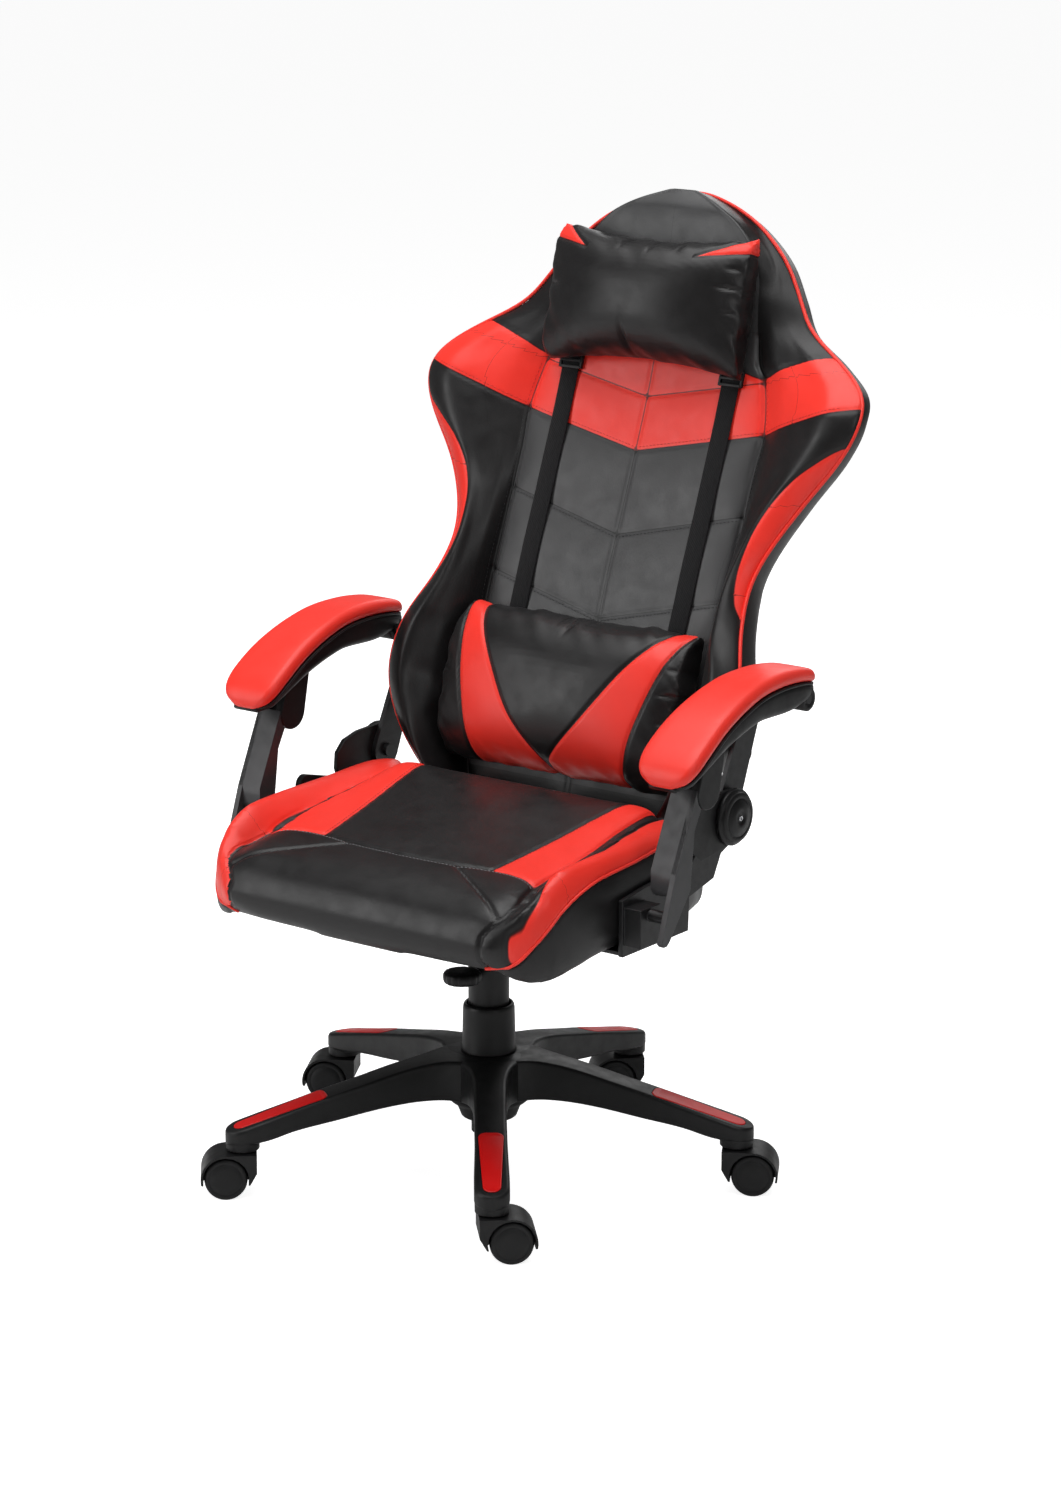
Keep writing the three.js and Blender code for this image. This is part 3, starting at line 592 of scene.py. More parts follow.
def leather(name, colour, roughness=0.4, second=None, third=None):
    """Coated leather. second and third are colours used where the red and panel attributes are above 0. With
    a second colour, painted shade also darkens the colour along each seam's line.
    """
    made, tree, shader = new_material(name, colour, roughness)
    shade = ranged(tree, noise(tree, 9.0, 4.0), 0.95, 1.05)
    picked = colour
    for attribute, other in (("panel", third), ("red", second)):
        if other is not None:
            inside = node(tree, "ShaderNodeAttribute", attribute_name=attribute).outputs["Fac"]
            picked = mixed(tree, ranged(tree, inside, 0.0, 1.0, -0.35, 0.35), picked, other)
    if second is not None:
        # Painted shade along the seams: within about a millimetre of a seam's line the colour is darkened,
        # down to a tenth on the line itself.
        seam = node(tree, "ShaderNodeAttribute", attribute_name="seam").outputs["Fac"]
        crease = ranged(tree, math_node(tree, "ABSOLUTE", seam), 0.1, 1.0, 0.25, 1.0)
        shade = math_node(tree, "MULTIPLY", shade, crease)
    grey = node(tree, "ShaderNodeCombineColor", {"Red": shade, "Green": shade, "Blue": shade}).outputs[0]
    tree.links.new(mixed(tree, 1.0, picked, grey, "MULTIPLY"), shader.inputs["Base Color"])
    rough = ranged(tree, noise(tree, 46.0, 5.0), roughness - 0.05, roughness + 0.07)
    tree.links.new(rough, shader.inputs["Roughness"])
    shader.inputs["Specular IOR Level"].default_value = 0.4
    shader.inputs["Sheen Weight"].default_value = 0.03
    shader.inputs["Sheen Roughness"].default_value = 0.4
    bumped(tree, shader, grain_height(tree), 0.22, 0.00035)
    return made


def plastic(name, colour, roughness, texture=0.25, scale=900.0):
    """Moulded plastic: a fine spark texture, faint handling marks and edges rubbed a little lighter."""
    made, tree, shader = new_material(name, colour, roughness)
    light = tuple(min(1.0, c * 1.35 + 0.002) for c in colour)
    worn = ranged(tree, node(tree, "ShaderNodeNewGeometry").outputs["Pointiness"], 0.0, 0.5, 0.52, 0.6)
    scuffs = math_node(tree, "MULTIPLY", worn, noise(tree, 60.0, 6.0, 0.7))
    tone = mixed(tree, ranged(tree, noise(tree, 14.0, 4.0), 0.0, 0.35), colour, light)
    tree.links.new(mixed(tree, scuffs, tone, light), shader.inputs["Base Color"])
    rough = ranged(tree, noise(tree, 70.0, 5.0), roughness - 0.06, roughness + 0.08)
    tree.links.new(rough, shader.inputs["Roughness"])
    shader.inputs["Specular IOR Level"].default_value = 0.32
    bumped(tree, shader, noise(tree, scale, 2.0), texture, 0.00012)
    return made


def metal(name, colour, roughness, metallic):
    """Brushed or painted steel, its shine broken by fine streaks."""
    made, tree, shader = new_material(name, colour, roughness, metallic)
    dull = tuple(c * 0.72 for c in colour)
    tree.links.new(
        mixed(tree, ranged(tree, noise(tree, 22.0, 5.0), 0.0, 0.5), colour, dull), shader.inputs["Base Color"]
    )
    streaks = noise(tree, 120.0, 6.0, 0.7)
    tree.links.new(ranged(tree, streaks, roughness - 0.05, roughness + 0.1), shader.inputs["Roughness"])
    bumped(tree, shader, streaks, 0.08, 0.0001)
    return made


def woven(name, colour):
    """Polyester webbing: ribs across and twill along, laid out by the strap's own UV map."""
    made, tree, shader = new_material(name, colour, 0.75)
    uv = node(tree, "ShaderNodeUVMap", uv_map="strap").outputs["UV"]
    waves = [
        node(
            tree, "ShaderNodeTexWave", {"Vector": uv, "Scale": scale, "Distortion": 0.4, "Detail": 1.0},
            bands_direction=direction,
        ).outputs["Fac"]
        for direction, scale in (("X", 260.0), ("DIAGONAL", 180.0))
    ]
    height = math_node(tree, "ADD", waves[0], waves[1])
    light = tuple(c * 2.1 for c in colour)
    tree.links.new(
        mixed(tree, ranged(tree, height, 0.0, 0.8, 0.4, 1.8), colour, light), shader.inputs["Base Color"]
    )
    shader.inputs["Sheen Weight"].default_value = 0.08
    shader.inputs["Specular IOR Level"].default_value = 0.2
    bumped(tree, shader, height, 0.5, 0.0003)
    return made


def plywood(name):
    """Dark stained board, its grain drawn out across the seat."""
    made, tree, shader = new_material(name, (0.03, 0.025, 0.02), 0.7)
    stretched = node(
        tree, "ShaderNodeMapping", {"Vector": object_space(tree), "Scale": (6.0, 60.0, 60.0)}
    ).outputs["Vector"]
    grain = node(
        tree, "ShaderNodeTexNoise", {"Vector": stretched, "Scale": 3.0, "Detail": 6.0}
    ).outputs["Fac"]
    tree.links.new(
        mixed(tree, ranged(tree, grain, 0.0, 1.0), (0.045, 0.036, 0.028), (0.022, 0.017, 0.013)),
        shader.inputs["Base Color"],
    )
    bumped(tree, shader, grain, 0.2, 0.0003)
    return made


COVER = leather("two_tone_cover", BLACK_HIDE, 0.36, RED_HIDE, PANEL_HIDE)
RED_COVER = leather("red_cover", RED_HIDE, 0.38)
NYLON = plastic("black_nylon", (0.0062, 0.0062, 0.0065), 0.4)
PLASTIC = plastic("black_plastic", (0.0068, 0.0068, 0.0072), 0.44)
POST_PLASTIC = plastic("post_plastic", (0.042, 0.042, 0.044), 0.34, 0.1)
WHEEL = plastic("wheel_black", (0.0078, 0.0078, 0.0082), 0.48, 0.3, 500.0)
RED_PLASTIC = plastic("red_plastic", (0.66, 0.004, 0.004), 0.36, 0.12, 300.0)
STEEL = metal("bright_steel", (0.62, 0.63, 0.65), 0.22, 1.0)
BLACK_STEEL = metal("black_steel", (0.012, 0.012, 0.013), 0.4, 0.2)
BOARD = plywood("board")
WEBBING = woven("webbing", (0.0055, 0.0055, 0.006))
GREY_THREAD = leather("grey_thread", (0.28, 0.28, 0.29), 0.6)
RED_THREAD = leather("red_thread", (0.66, 0.03, 0.022), 0.6)
BLACK_THREAD = leather("black_thread", (0.02, 0.02, 0.021), 0.6)

# ---- Back cushion: profiles up the back, from v in the back's own frame ----
BACK_BOTTOM, BACK_TOP = -22, 720
back_half = through([
    (-22, 176), (0, 196), (38, 222), (85, 244), (120, 249), (160, 244), (215, 224), (266, 216),
    (310, 226), (366, 255), (425, 296), (466, 311), (500, 302), (535, 258), (566, 208), (606, 180),
    (650, 149), (685, 108), (706, 66), (720, 22),
])
back_face = through([
    (-22, 38), (110, 35), (232, 35), (323, 41), (405, 46), (478, 49), (556, 47), (637, 40), (695, 32),
    (720, 44),
])
rim_forward = through([
    (-22, 30), (40, 52), (110, 54), (173, 46), (225, 30), (295, 14), (366, 8), (466, 18), (514, 4),
    (566, -12), (640, -24), (720, -34),
])
crest_forward = through([
    (-22, 22), (60, 20), (150, 20), (240, 22), (330, 20), (430, 20), (500, 16), (566, 6), (640, 4), (720, 2),
])
rim_thick = through([
    (-22, 40), (60, 56), (200, 58), (300, 46), (466, 34), (566, 36), (695, 34), (720, 14),
])
back_depth = through([(-22, 42), (40, 66), (300, 70), (500, 66), (640, 58), (703, 44), (720, 16)])
# Half the width of the middle panel, between the two long seams
panel_half = through([
    (-22, 146), (20, 160), (80, 168), (276, 168), (395, 168), (442, 170), (505, 157), (523, 146),
    (560, 139), (640, 124), (680, 94), (704, 54), (720, 16),
])


def on_back(points):
    """(x, v, w) in the back's own frame to the row frame."""
    points = np.asarray(points, float)
    x, v, w = points[..., 0], points[..., 1], points[..., 2]
    y = HINGE[1] + w * math.cos(BACK_TILT) + v * math.sin(BACK_TILT)
    z = HINGE[2] + v * math.cos(BACK_TILT) - w * math.sin(BACK_TILT)
    return np.stack([x, y, z], -1)


def to_back(points):
    """The reverse of on_back."""
    y, z = points[:, 1] - HINGE[1], points[:, 2] - HINGE[2]
    v = y * math.sin(BACK_TILT) + z * math.cos(BACK_TILT)
    w = y * math.cos(BACK_TILT) - z * math.sin(BACK_TILT)
    return points[:, 0], v, w


FORWARD_ON_BACK = (0.0, math.cos(BACK_TILT), -math.sin(BACK_TILT))
RIM_POINT = 8  # the control point on the rim, where front and rear covers meet
HEAD_START = 556  # above this the side bolsters fade into the head
BACK_SLIM = 2.5  # how far the face starts below its height, for the cloth to swell it
BACK_COUNTS = (12, 12, 5, 6, 7, 7, 5, 4, 6, 5, 8, 8, 7)


def back_control(v):
    """Half of the back's section, from the middle of its face round to the middle of its rear."""
    half, face, seam = back_half(v), back_face(v), panel_half(v)
    crest_x = max(half * 0.9 - 4, seam + 0.6 * (half - seam))
    slope = crest_x - seam
    rim = face - rim_forward(v)
    crest = rim - crest_forward(v)
    return [
        (0, face + BACK_SLIM - 1.5),
        (seam * 0.55, face + BACK_SLIM - 1),
        (seam - 8, face + BACK_SLIM - 0.5),
        (seam, face + BACK_SLIM + 2 * float(np.clip((HEAD_START - v) / 30, 0, 1))),
        (seam + 0.32 * slope, face * 0.62 + crest * 0.38),
        (seam + 0.68 * slope, face * 0.26 + crest * 0.74),
        (crest_x, crest),
        (half - 4, rim - crest_forward(v) * 0.45),
        (half, rim - 2),
        (half - 5, rim + rim_thick(v) * 0.7),
        (half - 20, rim + rim_thick(v)),
        (half * 0.6, face + back_depth(v) * 0.92),
        (half * 0.25, face + back_depth(v)),
        (0, face + back_depth(v) + 1),
    ]


def back_ring(v):
    """The closed section at v, and for each point its signed distance to the rim seam, positive in front."""
    right = back_control(v)
    control = right + [(-x, w) for x, w in right[-2:0:-1]]
    counts = list(BACK_COUNTS) + list(BACK_COUNTS[::-1])
    ring = closed_curve(control, counts)
    rim_index = sum(BACK_COUNTS[:RIM_POINT])
    steps = np.linalg.norm(np.diff(np.vstack([ring, ring[:1]]), axis=0), axis=1)
    reach = np.concatenate([[0], np.cumsum(steps)])
    right_rim = reach[rim_index] - reach[:-1]
    left_rim = reach[:-1] - reach[len(ring) - rim_index]
    middle = len(ring) // 2
    signed = np.where(np.arange(len(ring)) <= middle, right_rim, left_rim)
    return np.column_stack([ring[:, 0], np.full(len(ring), v), ring[:, 1]]), signed


def chevron(rise, middle):
    """The height of a V-shaped seam at a distance from the middle."""
    return lambda ax: middle + rise * ax


LOWER_CHEVRON = chevron(0.24, 200)
MIDDLE_CHEVRON = chevron(0.245, 302)
BAND_CHEVRON = chevron(0.2, 470)
band_bottom = through([(0, 404), (85, 422), (170, 440.5), (236, 460), (330, 488)])
band_top = through([(0, 538), (80, 529), (150, 507), (190, 521), (235, 537), (300, 552)])
crescent = through([
    (200, 236), (222, 222), (240, 211), (270, 204), (300, 204), (330, 209), (360, 222), (390, 245),
    (412, 270), (432, 296), (446, 320),
])


def back_lines(x, v, rim):
    """Signed distance into the red areas, and the fields of the fine and of the deep seams."""
    ax = np.abs(x)
    band = np.minimum(v - band_bottom(ax), band_top(ax) - v) * 0.95
    moon = np.minimum(ax - crescent(v), np.minimum(v - 205, 445 - v))
    red = np.minimum(np.maximum(band, moon), rim)
    panel = panel_half(v)
    front, inside = rim > 3, ax < panel + 1
    fine = seam_field(
        (x, front & (v < 540)),
        ((v - LOWER_CHEVRON(ax)) * 0.97, front & inside),
        ((v - MIDDLE_CHEVRON(ax)) * 0.97, front & inside),
        ((v - BAND_CHEVRON(ax)) * 0.98, front & inside),
        ((v - band_bottom(ax)) * 0.96, front),
        ((v - band_top(ax)) * 0.95, front),
        ((ax - crescent(v)) * 0.85, front & (v > 215) & (v < 440)),
        (ax - back_half(v) * 0.72, rim < -40),
        (v - 560, rim < -40),
    )
    deep = seam_field((ax - panel, front & (v < HEAD_START)))
    return red, fine, deep


def back_cover():
    stations = np.concatenate([
        np.linspace(BACK_BOTTOM, 0, 6), np.linspace(6, 676, 114), np.linspace(681, BACK_TOP, 13),
    ])
    rings, rims = zip(*[back_ring(v) for v in stations])
    obj = loft("back_cover", on_back(np.array(rings)))
    set_attribute(obj, "rim", np.concatenate([np.concatenate(rims), [20.0, 2.0]]))
    rim = attribute_of(obj, "rim")
    x, v, _ = to_back(coordinates(obj))
    _, fine, deep = back_lines(x, v, rim)
    held = (np.abs(rim) < 2) | (np.abs(fine) < 2) | (np.abs(deep) < 3)
    held |= (v < BACK_BOTTOM + 6) | (v > BACK_TOP - 12)
    inside = np.abs(x) < panel_half(v)
    cap = np.where(rim < 0, 3.0, np.where(inside, 2.5, 7.0) * np.clip((rim + 4) / 40, 0.2, 1))
    cap *= np.clip((700 - v) / 110, 0.12, 1)
    inflate(obj, held, cap, 12.0, 4)
    modified(obj, "SUBSURF", levels=1)
    rim = attribute_of(obj, "rim")
    x, v, _ = to_back(coordinates(obj))
    red, fine, deep = back_lines(x, v, rim)
    sew(obj, fine, 1.1, 2.2)
    sew(obj, deep, 2.4, 3.0)
    panel = np.minimum.reduce([panel_half(v) - np.abs(x), rim, v - 2])
    set_tones(obj, red, fine * deep / SEAM_REACH, panel)
    placed(obj, "back", COVER)
    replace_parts(obj, "back_cushion")
    return obj


def back_piping():
    """The cord sewn round the rim."""
    stations = np.concatenate([np.linspace(BACK_BOTTOM + 2, 676, 116), np.linspace(680, BACK_TOP, 14)])
    side = np.array([
        (back_half(v) + 0.9, v, back_face(v) - rim_forward(v) - 2.4) for v in stations
    ])
    across = np.array([
        (x, BACK_TOP + 1.2, side[-1, 2]) for x in np.linspace(side[-1, 0] * 0.7, -side[-1, 0] * 0.7, 8)
    ])
    path = np.vstack([side, across, side[::-1] * (-1, 1, 1)])
    for _ in range(8):
        path[1:-1] = (path[:-2] + 2 * path[1:-1] + path[2:]) / 4
    tube = sweep("back_piping", on_back(path), 2.3)
    return placed(tube, "back", RED_COVER)


def back_stitching(cover):
    """Top-stitching beside the long seams, the chevrons and the band."""
    surface = surface_of(cover)
    black, red = [], []
    for side in (1, -1):
        black.append([(side * (panel_half(v) + 4), v, 0) for v in np.linspace(150, 432, 90)])
        red.append([(side * (panel_half(v) + 4), v, 0) for v in np.linspace(447, 500, 24)])
        for line in (LOWER_CHEVRON, MIDDLE_CHEVRON):
            black.append([(side * a, line(a) - 4, 0) for a in np.linspace(3, 164, 60)])
        red.append([(side * a, band_bottom(a) + 4, 0) for a in np.linspace(3, 290, 100)])
    for colour, paths, thread in (("black", black, BLACK_THREAD), ("red", red, RED_THREAD)):
        name = f"back_stitching_{colour}"
        pieces = [
            stitches(f"{name}_{i}", surface, on_back(np.array(path)), FORWARD_ON_BACK)
            for i, path in enumerate(paths)
        ]
        placed(joined(name, pieces), "back", thread)


# ---- Seat cushion: profiles along y, measured from the column ----
SEAT_FLOOR = 338
seat_half = through([
    (-243, 196), (-225, 222), (-190, 240), (-110, 248), (-20, 249), (60, 242), (100, 230),
])
seat_under = through([
    (-243, 341), (-238, 333), (-228, 328), (-212, 331), (-190, SEAT_FLOOR + 5), (100, SEAT_FLOOR + 5),
])
seat_skirt = through([(-243, 346), (-225, 322), (-200, 318), (-150, 326), (-100, 333), (100, 333)])
seat_belt = through([(-243, 362), (-232, 368), (-177, 387), (-103, 400), (-28, 411), (49, 425), (100, 430)])
seat_crest = through([
    (-243, 376), (-232, 400), (-197, 423), (-165, 439), (-110, 443), (-58, 443), (0, 444), (60, 446),
    (88, 444), (101, 441), (108, 434),
])
seat_groove = through([
    (-243, 370), (-232, 384), (-200, 398), (-157, 408), (-100, 422), (-40, 430), (0, 436), (50, 441),
    (84, 434), (100, 412),
])
seat_crown = through([
    (-243, 375), (-239, 386), (-232, 395), (-219, 403), (-200, 409), (-170, 416), (-120, 423), (-40, 436),
    (20, 447), (66, 452), (84, 442), (92, 428), (100, 416),
])
# How far inside the outline the groove between the bolster and the middle runs
seat_inset = through([
    (-243, 12), (-225, 22), (-205, 33), (-180, 45), (-157, 51), (-60, 54), (0, 56), (80, 48), (100, 44),
])
# The seam behind the front roll, by distance from the middle, and the red strips' inner seam
roll_line = through([(0, -160), (70, -157), (122, -150), (160, -153), (193, -163), (205, -170)])
strip_inner = through([(-152, 120), (-35, 136), (74, 150), (100, 152)])
# Height of the seam between the red bolster and the black side panel
belt_line = through([
    (-240, 330), (-230, 344), (-214, 366), (-177, 399), (-127, 417), (-44, 425), (40, 432), (100, 434),
])
# Width of the black strip between the front roll and the bolster
gusset_width = through([
    (-243, 32), (-239, 22), (-235, 15), (-230, 16), (-222, 20), (-203, 22), (-175, 17), (-145, 6),
    (-110, 2), (100, 2),
])
SEAT_VOXEL = 0.0052  # metres
FRONT_BULGE = 6.5
SEAT_SLIM = 2.0  # how far the top starts below its height, for the cloth to swell it
SEAT_COUNTS = (3, 3, 3, 5, 6, 5, 5, 3, 3, 6, 14)


def seat_control(y):
    """Half of the seat's section, from under its side round to the middle of its top."""
    half, inset, skirt, belt = seat_half(y), seat_inset(y), seat_skirt(y), seat_belt(y)
    crest, groove, crown = seat_crest(y), seat_groove(y), seat_crown(y)
    return [
        (half - 34, seat_under(y)),
        (half - 22, skirt),
        (half - 8, skirt),
        (half - 1, skirt + 10),
        (half, belt),
        (half - 0.14 * inset, (belt + 2 * crest) / 3),
        (half - 0.4 * inset, crest - SEAT_SLIM),
        (half - 0.76 * inset, (groove + crest) / 2 - SEAT_SLIM),
        (half - inset, groove - 3),
        (half - inset - 12, crown - 2 - SEAT_SLIM),
        (half - inset - 76, crown - SEAT_SLIM),
        (0, crown - SEAT_SLIM + 1),
    ]


def seat_ring(y):
    right = seat_control(y)
    control = right + [(-x, z) for x, z in right[-2::-1]]
    counts = list(SEAT_COUNTS) + list(SEAT_COUNTS[::-1]) + [24]
    ring = closed_curve(control, counts)
    return np.column_stack([ring[:, 0], np.full(len(ring), y + COLUMN[1]), ring[:, 1]])


def shrunk(ring, share):
    """The same ring drawn in towards its own mid-height."""
    middle = (ring[:, 2].max() + ring[:, 2].min()) / 2
    out = ring.copy()
    out[:, 2] = middle + (out[:, 2] - middle) * share
    out[:, 0] *= 1 - 0.04 * (1 - share)
    return out


def seat_lines(x, y, z, nz):
    """Signed distance into the red areas, and the field of the seams."""
    ax = np.abs(x)
    groove_at = seat_half(y) - seat_inset(y)
    left = x < 0
    edge = groove_at - np.where(left, 1, 7)
    gusset = np.where(left, 0, gusset_width(y))
    behind = y - roll_line(ax)
    strip = np.minimum.reduce([ax - strip_inner(y), edge - ax, behind])
    bolster = np.minimum(ax - groove_at - gusset, z - belt_line(y))
    red = np.minimum(np.where(ax < groove_at, strip, bolster), 103 - y)
    diagonal = (y - (-158 - 0.63 * (ax - 75))) * 0.85
    on_top = (ax < edge + 2) & (z > 380)
    seams = seam_field(
        (behind, on_top),
        (ax - strip_inner(y), on_top & (behind > -2)),
        (ax - edge, ((behind > -2) & (nz > 0.2) & (ax < groove_at)) | ((y < -162) & (ax < groove_at + 4))),
        (diagonal, (ax > 75) & (ax < edge) & (behind < 2) & (y > -236) & (nz > 0.1)),
        (bolster, (ax > groove_at) & (y > -238)),
    )
    return red, seams


def seat_cover():
    stations = np.concatenate([
        [-243, -241, -238.5, -236], np.linspace(-232, 78, 76), [82, 86, 90, 94, 98, 102, 105, 108],
    ])
    rings = [seat_ring(y) for y in stations]
    front = [
        shrunk(rings[0], math.sqrt(1 - t * t)) - (0, FRONT_BULGE * t, 0)
        for t in (0.99, 0.93, 0.82, 0.66, 0.45, 0.22)
    ]
    back = [shrunk(rings[-1], share) for share in (0.93, 0.75, 0.45, 0.15)]
    obj = loft("seat_cover", np.array(front + rings + back))
    modified(obj, "REMESH", mode="VOXEL", voxel_size=SEAT_VOXEL)
    smoothed(obj, 3, np.ones(len(obj.data.vertices), bool))
    smoothed(obj, 14, coordinates(obj)[:, 1] - COLUMN[1] < -196)
    points = coordinates(obj)
    y = points[:, 1] - COLUMN[1]
    _, seam = seat_lines(points[:, 0], y, points[:, 2], normals(obj)[:, 2])
    low = points[:, 2] < np.where(y < -205, 336, seat_skirt(y) + 12)
    held = low | (np.abs(seam) < 2.8) | (y > 98)
    inflate(obj, held, np.where(y < -225, 4.5, 7.0), 10.0, 5)
    modified(obj, "SUBSURF", levels=1)
    points = coordinates(obj)
    x, y, z = points[:, 0], points[:, 1] - COLUMN[1], points[:, 2]
    red, seam = seat_lines(x, y, z, normals(obj)[:, 2])
    sew(obj, seam, 1.8, 2.8)
    set_tones(obj, red, seam)
    placed(obj, "seat", COVER)
    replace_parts(obj, "seat_cushion")
    return obj


def seat_trim(cover):
    """Piping along the bolsters and stitching on the roll and strips."""
    surface = surface_of(cover)
    pipes, strips = [], []
    for side in (1, -1):
        path = []
        for y in np.linspace(-236, 96, 90):
            start = Vector((side * 330 * MM, (y + COLUMN[1]) * MM, float(belt_line(y)) * MM))
            hit, normal, _, _ = surface.ray_cast(start, Vector((-side, 0, 0)), 0.4)
            if hit is not None:
                path.append(np.array(hit + normal * 0.6 * MM) / MM)
        pipes.append(sweep("pipe", path, 1.9))
    placed(joined("seat_piping", pipes), "seat", RED_COVER)
    roll = [(x, float(roll_line(abs(x))) + COLUMN[1] - 3.2) for x in np.linspace(-186, 186, 150)]
    grey = stitches("seat_stitching", surface, over_seat(roll), (0, 0, -1))
    placed(grey, "seat", GREY_THREAD)
    for side in (1, -1):
        strip = [
            (side * (float(strip_inner(y)) + 3.5), y + COLUMN[1]) for y in np.linspace(-146, 70, 80)
        ]
        strips.append(stitches("red", surface, over_seat(strip), (0, 0, -1)))
    placed(joined("seat_stitching_red", strips), "seat", RED_THREAD)


def over_seat(plan):
    """Plan points lifted to a height where a ray straight down meets the seat's top."""
    return np.column_stack([np.array(plan, float), np.full(len(plan), 430.0)])


# ---- Pillows ----
STRAP_LIFT = 3.6  # room for the strap between the back's face and a pillow
PILLOW_GAP = 4.5
PILLOW_VOXEL = 0.0042  # metres


def pillow(name, half, bottom, top, thick, ends, tip_rise, cap, waist, seed, dimples):
    """A stuffed pillow sewn round its edge: an envelope swollen by cloth, then puckered along its seam.

    ends is the share of its fullness left at its ends, tip_rise lifts its corners, and waist draws in its
    middle. A dimple is its middle (x, v), its reach across and up, and its depth.
    """
    rng = np.random.default_rng(seed)
    rings = []
    across = np.sin(np.linspace(-1, 1, 47) * math.pi / 2) * 0.998
    around = np.linspace(0, 2 * math.pi, 72, endpoint=False)
    middle = (bottom + top) / 2
    for s in across:
        fullness = ends + (1 - ends) * (1 - abs(s) ** 2.6)
        up = np.sign(np.sin(around)) * np.abs(np.sin(around)) ** 0.72
        out = np.sign(np.cos(around)) * np.abs(np.cos(around)) ** 0.95
        v = middle + up * ((top - bottom) / 2 - waist * (1 - s * s) * 0.5) + tip_rise * s * s * up
        w = middle_plane(v) + np.where(out < 0, out * (thick - 9) * fullness, out * 4.5 * fullness)
        rings.append(np.column_stack([np.full(len(around), s * half), v, w]))
    obj = loft(name, on_back(np.array(rings)))
    modified(obj, "REMESH", mode="VOXEL", voxel_size=PILLOW_VOXEL)
    _, v, w = to_back(coordinates(obj))
    held = w > middle_plane(v) - 2
    inflate(obj, held, cap, 1.0, 2)
    modified(obj, "SUBSURF", levels=1)
    x, v, w = to_back(coordinates(obj))
    edge = np.minimum(half - np.abs(x), (top - bottom) / 2 + tip_rise * (x / half) ** 2 - np.abs(v - middle))
    phase = rng.uniform(0, 6.28, 4)
    folds = sum(np.sin((x + v) / period + p) for period, p in zip((5.2, 8.3, 13.0, 21.0), phase)) / 4
    depth = 4.0 * np.exp(-np.maximum(edge, 0) / 13) * folds
    for middle_x, middle_v, reach_x, reach_v, deep in dimples:
        depth -= deep * np.exp(-(((x - middle_x) / reach_x) ** 2) - ((v - middle_v) / reach_v) ** 2)
    sag = 1.2 * np.sin(x / 31 + phase[0]) * np.sin(v / 23 + phase[1])
    front = np.clip((middle_plane(v) - w) / 12, 0, 1)
    set_coordinates(obj, coordinates(obj) + normals(obj) * ((depth + sag) * front)[:, None])
    return obj


def middle_plane(v):
    """Where a pillow's own seam lies in front of the back, at v."""
    return back_face(v) - STRAP_LIFT - PILLOW_GAP - 7


# The two red stripes' edges, from the middle, by height up the back
lumbar_inner = through([(14, 0), (22, 4), (74, 52), (147, 102), (191, 134), (206, 146)])
lumbar_outer = through([(4, 108), (28, 114), (73, 124), (139, 142), (187, 158), (206, 164)])


def lumbar_pillow():
    dimples = [
        (2, 194, 3.5, 14, 2.6), (-16, 196, 3, 9, 1.8), (21, 197, 3, 8, 1.6), (158, 121, 12, 3, 1.5),
        (159, 88, 9, 3, 1.1), (160, 151, 8, 3, 1.0), (-158, 110, 11, 3, 1.3), (0, 14, 4, 12, 1.5),
    ]
    obj = pillow("lumbar_pillow_cover", 168, 6, 200, 76, 0.66, -2, 8, 6, 11, dimples)
    x, v, w = to_back(coordinates(obj))
    ax = np.abs(x)
    front = middle_plane(v) - w
    inner, outer = (ax - lumbar_inner(v)) * 0.85, lumbar_outer(v) - ax
    red = np.minimum.reduce([inner, outer, front])
    seam = seam_field((inner, front > 0), (outer, front > 0), (front, ax < 160))
    sew(obj, seam, 1.8, 3.0)
    set_tones(obj, red, seam)
    placed(obj, "lumbar_pillow", COVER)
    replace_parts(obj, "lumbar_pillow")
    return obj


def head_pillow():
    dimples = [
        (-6, 528, 4, 17, 3.0), (-30, 650, 3.5, 11, 2.6), (12, 650, 3.5, 12, 2.6), (52, 648, 3, 9, 2.0),
        (126, 599, 13, 3, 1.9), (129, 571, 9, 3, 1.3), (127, 622, 8, 3, 1.2), (-126, 585, 10, 3, 1.5),
    ]
    obj = pillow("head_pillow_cover", 139, 506, 655, 72, 0.42, 8, 9, 10, 5, dimples)
    x, v, w = to_back(coordinates(obj))
    ax = np.abs(x)
    front = middle_plane(v) - w
    low, high = v - (631 + 0.2 * (ax - 78)), 631 + 0.6 * (ax - 78) - v
    corner = ax > 76
    red = np.where(corner, np.minimum.reduce([low, high, front]), -5)
    seam = seam_field((red, corner & (front > 0)), (front, ax < 128))
    sew(obj, seam, 1.6, 2.8)
    set_tones(obj, red, seam)
    placed(obj, "head_pillow", COVER)
    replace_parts(obj, "head_pillow")
    return obj


# ---- Straps and their sliders ----
STRAP_X, STRAP_WIDTH, STRAP_THICK = 116, 25, 1.7
SLIDER_V = 502


def strap_line(surface, x):
    """Distance w of the strap's rear face down the back, laid on the cover and drawn straight over dips."""
    stations = np.arange(26, 622, 6.0)
    rest = []
    for v in stations:
        nearest = []
        for dx in (-12, 0, 12):
            start = Vector(on_back(np.array([x + dx, v, -120.0])) * MM)
            hit, _, _, _ = surface.ray_cast(start, Vector(FORWARD_ON_BACK), 0.4)
            nearest.append(to_back(np.array(hit)[None] / MM)[2][0] if hit is not None else 40.0)
        rest.append(min(nearest))
    rest = np.array(rest)
    taut = rest.copy()
    for _ in range(60):
        taut[1:-1] = np.minimum(rest[1:-1], (taut[:-2] + taut[2:]) / 2)
    return stations, taut - 0.6


